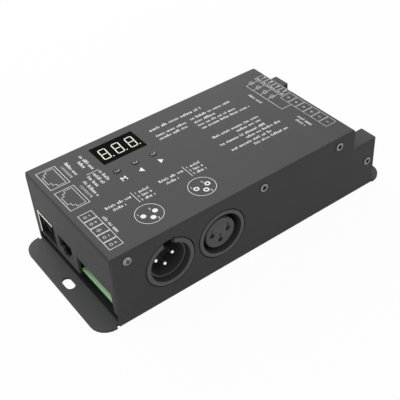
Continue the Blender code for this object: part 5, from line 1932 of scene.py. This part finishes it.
@dataclass
class PowerTerminal:
    """Ten-way screw terminal: moulding, clamp cages and slotted screws that turn."""

    ways: int = 10
    pitch: float = 5.08 * MM
    edge: float = 0.1 * MM
    groove: float = 0.35 * MM
    groove_depth: float = 0.45 * MM
    cage_width: float = 3.5 * MM
    cage_height: float = 3.9 * MM
    cage_wall: float = 0.5 * MM
    cage_length: float = 5.0 * MM
    cage_start: float = 7.6 * MM
    cage_lift: float = 0.25 * MM
    head_radius: float = 1.7 * MM
    head_height: float = 1.8 * MM
    head_edge: float = 0.25 * MM
    shank_radius: float = 1.15 * MM
    slot_width: float = 0.6 * MM
    screw_sides: int = 48
    entry_lift: float = 1.6 * MM

    def build(self) -> None:
        """Builds the moulding, the cages and the screws."""
        node = "power_terminal"
        mesh = merged(node)
        low, high = span_of(node)
        half = self.groove / 2
        for index in range(1, self.ways):
            y = low.y + index * self.pitch
            start = (high.x - self.groove_depth, y - half, low.z - CUT_PAST)
            mesh = cut(mesh, cuboid("groove", start, (high.x + CUT_PAST, y + half, high.z + CUT_PAST)))
        piece(node + "_shown", eased(mesh, self.edge), GREEN_PLASTIC, stands_for=(node,))
        self.cages(low, high)
        for index in range(1, self.ways + 1):
            self.screw(f"{index:02d}")

    def cages(self, low: Vector, high: Vector) -> None:
        """Adds the row of plated cages inside the wire entries.

        Args:
            low: lowest corner of the moulding.
            high: highest corner of the moulding.
        """
        y = low.y + self.pitch / 2
        floor = low.z + self.entry_lift + self.cage_lift
        start = high.x - self.cage_start
        end = start + self.cage_length
        top = floor + self.cage_height
        half = self.cage_width / 2
        wall = self.cage_wall
        cage = cut(
            cuboid("cage", (start, y - half, floor), (end, y + half, top)),
            cuboid(
                "hollow",
                (start - CUT_PAST, y - half + wall, floor + wall),
                (end + CUT_PAST, y + half - wall, top - wall),
            ),
        )
        piece("clamp_cages", row(cage, self.ways, (0.0, self.pitch, 0.0), ZINC), ZINC)

    def screw(self, number: str) -> None:
        """Builds one clamp screw on its own body.

        Args:
            number: the two digits of its way.
        """
        node = "clamp_screw_" + number
        low, high = span_of(node)
        x, y = (low.x + high.x) / 2, (low.y + high.y) / 2
        edge = self.head_edge
        profile = [(0.0, 0.0)]
        profile += arc((self.head_radius - edge, -edge), edge, 90, 0)
        profile += [(self.head_radius, -self.head_height), (self.shank_radius, -self.head_height)]
        profile += [(self.shank_radius, low.z - high.z), (0.0, low.z - high.z)]
        mesh = turned("screw", profile, self.screw_sides, (x, y, high.z), Facing.UP)
        half = self.slot_width / 2
        reach = 2 * self.head_radius
        start = (x - reach, y - half, high.z - self.head_height / 2)
        mesh = cut(mesh, cuboid("slot", start, (x + reach, y + half, high.z + CUT_PAST)))
        piece(node + "_shown", smoothed(mesh), ZINC, "clamp_" + number, (node,))


@dataclass
class CaseScrews:
    """Screws of the long walls: pan heads with a cross at the corner, socket heads elsewhere."""

    shank_radius: float = 1.0 * MM
    cross_height: float = 0.8 * MM
    cross_reaches: Point = (0.715 * MM, 1.495 * MM)
    cross_half: float = 0.31 * MM
    cross_levels: Point = (-0.62 * MM, 0.2 * MM)
    crown: float = 0.3
    crown_rings: int = 8
    shadow_reaches: Point = (1.105 * MM, 1.105 * MM)
    shadow_half: float = 0.2976 * MM
    shadow_levels: Point = (-0.6 * MM, -0.22 * MM)
    socket_height: float = 0.65 * MM
    socket_sides: int = 6
    socket_radius: float = 1.22 * MM
    socket_head: float = 1.13
    socket_edge: float = 0.22 * MM
    socket_depth: float = 1.8
    spins: tuple[float, ...] = (20.0, 110.0)
    sides: int = 48
    labels: tuple[str, ...] = ("corner", "middle", "far", "step")

    def build(self) -> None:
        """Builds the eight screws."""
        for side, facing in (("front", Facing.FRONT), ("back", Facing.BACK)):
            for label in self.labels:
                self.screw(f"{side}_{label}_screw", facing, label == "corner")

    def screw(self, node: str, facing: Facing, has_cross: bool) -> None:
        """Builds one screw.

        Args:
            node: the CAD node that it stands for.
            facing: which wall it is in.
            has_cross: whether it has a cross recess, or else a socket.
        """
        low, high = span_of(node)
        radius = (high.x - low.x) / 2 * (1.0 if has_cross else self.socket_head)
        length = high.y - low.y
        outer = low.y if facing is Facing.FRONT else high.y
        place = ((low.x + high.x) / 2, outer, (low.z + high.z) / 2)
        height = self.cross_height if has_cross else self.socket_height
        profile = [(0.0, 0.0), *(self.crowned(radius) if has_cross else self.squared(radius))]
        profile += [(self.shank_radius, -height), (self.shank_radius, -length), (0.0, -length)]
        mesh = turned("screw", profile, self.sides, place, facing)
        stand = facing_matrix(place, facing)
        if has_cross:
            recesses = self.cross(stand, self.cross_reaches, self.cross_half, self.cross_levels)
        else:
            outline = ring_of_points(self.socket_sides, self.socket_radius)
            recesses = [prism("socket", outline, -self.socket_depth * height, CUT_PAST, place, facing)]
        piece(node + "_shown", smoothed(cut(mesh, *recesses)), SCREW_ZINC, stands_for=(node,))
        # The near-black cross set into the cross recess is painted shade.
        if has_cross:
            bars = self.cross(stand, self.shadow_reaches, self.shadow_half, self.shadow_levels)
            piece(node + "_recess", combined(bars[0], "UNION", bars[1]), BLACK_PLASTIC)

    def crowned(self, radius: float) -> list[Point]:
        """Gives the rounded top of a pan head.

        Args:
            radius: radius of the head.

        Returns:
            Profile points from its crown to its rim.
        """
        points = []
        for ring in range(1, self.crown_rings + 1):
            angle = math.radians(90 * ring / self.crown_rings)
            out = radius * (self.crown + (1.0 - self.crown) * math.sin(angle))
            points.append((out, -self.cross_height * (1 - math.cos(angle))))
        return points

    def squared(self, radius: float) -> list[Point]:
        """Gives the flat top of a socket head, from its eased rim down its side."""
        edge = self.socket_edge
        return [*arc((radius - edge, -edge), edge, 90, 0), (radius, -self.socket_height)]

    def cross(self, stand: Matrix, reaches: Point, half: float, levels: Point) -> list[Mesh]:
        """Makes the two bars of a cross.

        Args:
            stand: the matrix that stands them in the head.
            reaches: how far they reach at their lower and their upper level.
            half: half of their width.
            levels: their lower and upper level, from the head's top.

        Returns:
            The two bars.
        """
        bars = []
        for spin in self.spins:
            shape = bmesh.new()
            bmesh.ops.create_cube(shape, size=2.0)
            for vert in shape.verts:
                end = int(vert.co.z > 0)
                vert.co = (vert.co.x * reaches[end], vert.co.y * half, levels[end])
            shape.transform(stand @ rotation("Z", spin))
            bars.append(to_mesh(shape, "bar"))
        return bars


@dataclass
class Boards:
    """Circuit boards, film, standoffs, screws, pin link and capacitors."""

    standoffs: int = 4
    capacitors: int = 2
    board_edge: float = 0.08 * MM
    standoff_edge: float = 0.15 * MM
    link_edge: float = 0.06 * MM
    groove: float = 0.5 * MM
    groove_depth: float = 0.4
    neck: float = 2.2 * MM
    sides: int = 64

    def build(self) -> None:
        """Finishes what the case holds."""
        for node in ("main_board", "display_board"):
            eased_copy(node, BOARD, self.board_edge)
        # The film's near-black finish is painted shade inside the case.
        repaint("insulating_film", FILM)
        for index in range(1, self.standoffs + 1):
            eased_copy(f"board_standoff_{index}", NICKEL, self.standoff_edge)
            repaint(f"board_screw_{index}", ZINC)
        eased_copy("board_link", BLACK_PLASTIC, self.link_edge)
        for index in range(1, self.capacitors + 1):
            self.capacitor(f"capacitor_{index}")

    def capacitor(self, node: str) -> None:
        """Builds a sleeved capacitor with a crimped neck and a sunk top.

        Args:
            node: the CAD node that it stands for.
        """
        low, high = span_of(node)
        radius = (high.x - low.x) / 2
        height = high.z - low.z
        place = ((low.x + high.x) / 2, (low.y + high.y) / 2, low.z)
        groove = self.groove
        profile = [(0.0, height - groove / 2), (radius - 2 * groove, height - groove / 2)]
        profile += arc((radius - groove, height - groove), groove, 90, 0, 5)
        profile += arc((radius + self.groove_depth * groove, self.neck), groove, 110, 250, 8)
        profile += arc((radius - groove, groove), groove, 0, -90, 5)
        profile += [(0.0, 0.0)]
        mesh = turned("capacitor", profile, self.sides, place, Facing.UP)
        piece(node + "_shown", smoothed(mesh, SOFT_SHADING), SLEEVE, stands_for=(node,))


@dataclass(frozen=True)
class Lamp:
    """A square soft lamp that points at a place, with its power in watts."""

    name: str
    place: Place
    aim: Place
    side: float
    power: float

    def hang(self) -> None:
        """Puts the lamp in the scene, out of the camera's sight."""
        light = bpy.data.lights.new(self.name, "AREA")
        light.shape = "SQUARE"
        light.size = self.side
        light.energy = self.power
        holder = in_scene(self.name, light)
        holder.location = self.place
        aim = Vector(self.aim) - Vector(self.place)
        holder.rotation_euler = aim.to_track_quat("-Z", "Y").to_euler()
        holder.visible_camera = False


@dataclass
class Studio:
    """Pale floor, soft lamps and the camera."""

    lens: float = 70.597
    sensor: float = 36.0
    clip: Point = (0.01, 20.0)
    eye: Place = (-0.159718, -0.231986, 0.247227)
    right: Place = (0.802508, -0.59390535, -0.05707324)
    up: Place = (0.4219, 0.4972, 0.7581)
    forward: Place = (0.42188143, 0.63248763, -0.64959638)
    floor_half: float = 3.0
    floor_level: float = -0.2 * MM
    floor_white: float = 0.97
    floor_shade: Colour = (0.58, 0.58, 0.58)
    floor_light_shade: Colour = (0.62, 0.62, 0.62)
    floor_grain: float = 900.0
    floor_cloud: float = 4.0
    world_light: float = 0.69
    lamps: tuple[Lamp, ...] = (
        Lamp("back_light", (-0.10, 0.60, 0.45), (0.0, 0.0, 0.02), 0.4, 3.5),
        Lamp("data_end_light", (-0.17, 0.11, 0.07), (-0.072, 0.02, 0.02), 0.06, 0.055),
        Lamp("low_light", (0.37, 0.55, 0.22), (0.0, 0.0, 0.03), 0.2, 1.2),
    )

    def build(self) -> None:
        """Builds the floor, the world, the lamps and the camera."""
        self.make_floor()
        self.make_world()
        for lamp in self.lamps:
            lamp.hang()
        self.make_camera()
        bpy.context.scene.view_settings.view_transform = "Standard"
        LOG.info("studio: floor, world, %d lamps, camera", len(self.lamps))

    def mixed(self, desk: NodeDesk, share: Socket, shaders: Sequence[Node], output: str) -> None:
        """Mixes two shaders into a tree's output.

        Args:
            desk: the tree's nodes.
            share: how much of the second shader shows.
            shaders: the two shader nodes.
            output: Blender's name of the output node.
        """
        mix = desk.add("ShaderNodeMixShader")
        for target, source in zip(mix.inputs, (share, *(shader.outputs[0] for shader in shaders))):
            desk.feed(target, source)
        desk.add(output, {"Surface": mix.outputs[0]})

    def seen_white(self, desk: NodeDesk) -> Socket:
        """Tells the rays that look at the background directly, in a reflection or through glass.

        Args:
            desk: the tree's nodes.

        Returns:
            A mask that is 1 for those rays.
        """
        path = desk.add("ShaderNodeLightPath")
        share = path.outputs["Is Camera Ray"]
        for name in ("Is Glossy Ray", "Is Transmission Ray"):
            share = desk.math("MAXIMUM", share, path.outputs[name])
        return share

    def make_floor(self) -> None:
        """Makes the pale floor, which looks white and keeps a soft shadow."""
        shape = bmesh.new()
        half = self.floor_half
        corners = [(-half, -half), (half, -half), (half, half), (-half, half)]
        shape.faces.new([shape.verts.new((x, y, self.floor_level)) for x, y in corners])
        floor = in_scene("floor", to_mesh(shape, "floor"))
        material = bpy.data.materials.new("pale_floor")
        desk = cleared(material)
        place = desk.add("ShaderNodeTexCoord").outputs["Object"]
        inputs = {"Vector": place, "Grain": self.floor_grain, "Cloud": self.floor_cloud}
        surface = desk.add("ShaderNodeGroup", node_tree=SURFACE_GRAIN, inputs=inputs)
        colour = desk.blend(surface.outputs["Cloud"], self.floor_shade, self.floor_light_shade)
        matt = desk.add("ShaderNodeBsdfDiffuse", {"Color": colour})
        bright = desk.add("ShaderNodeEmission", {"Strength": 1.0})
        share = desk.math("MULTIPLY", self.seen_white(desk), self.floor_white)
        self.mixed(desk, share, (matt, bright), "ShaderNodeOutputMaterial")
        floor.data.materials.append(material)

    def make_world(self) -> None:
        """Makes an even soft light that looks white behind the object."""
        world = bpy.data.worlds.new("studio")
        bpy.context.scene.world = world
        desk = cleared(world)
        soft = desk.add("ShaderNodeBackground", {"Color": WHITE, "Strength": self.world_light})
        white = desk.add("ShaderNodeBackground", {"Color": WHITE})
        self.mixed(desk, self.seen_white(desk), (soft, white), "ShaderNodeOutputWorld")

    def make_camera(self) -> None:
        """Places the camera at the photograph's angle."""
        camera = bpy.data.cameras.new("camera")
        camera.lens = self.lens
        camera.sensor_width = self.sensor
        camera.sensor_height = self.sensor
        camera.sensor_fit = "AUTO"
        camera.clip_start, camera.clip_end = self.clip
        columns = (Vector(self.right), Vector(self.up), -Vector(self.forward))
        turn = Matrix(columns).transposed().to_4x4()
        holder = in_scene("camera", camera)
        holder.matrix_world = Matrix.Translation(self.eye) @ turn
        bpy.context.scene.camera = holder


def main() -> None:
    """Builds every sub-assembly, then the studio."""
    logging.basicConfig(level=logging.INFO, format="%(name)s %(message)s")
    parts = (
        Case(),
        LidPrint(level=span_of("top_lid")[1].z),
        Display(),
        Keys(),
        XlrPair(),
        Jacks(),
        SignalHeader(),
        PowerTerminal(),
        CaseScrews(),
        Boards(),
        Studio(),
    )
    for part in parts:
        part.build()


if __name__ == "__main__":
    main()
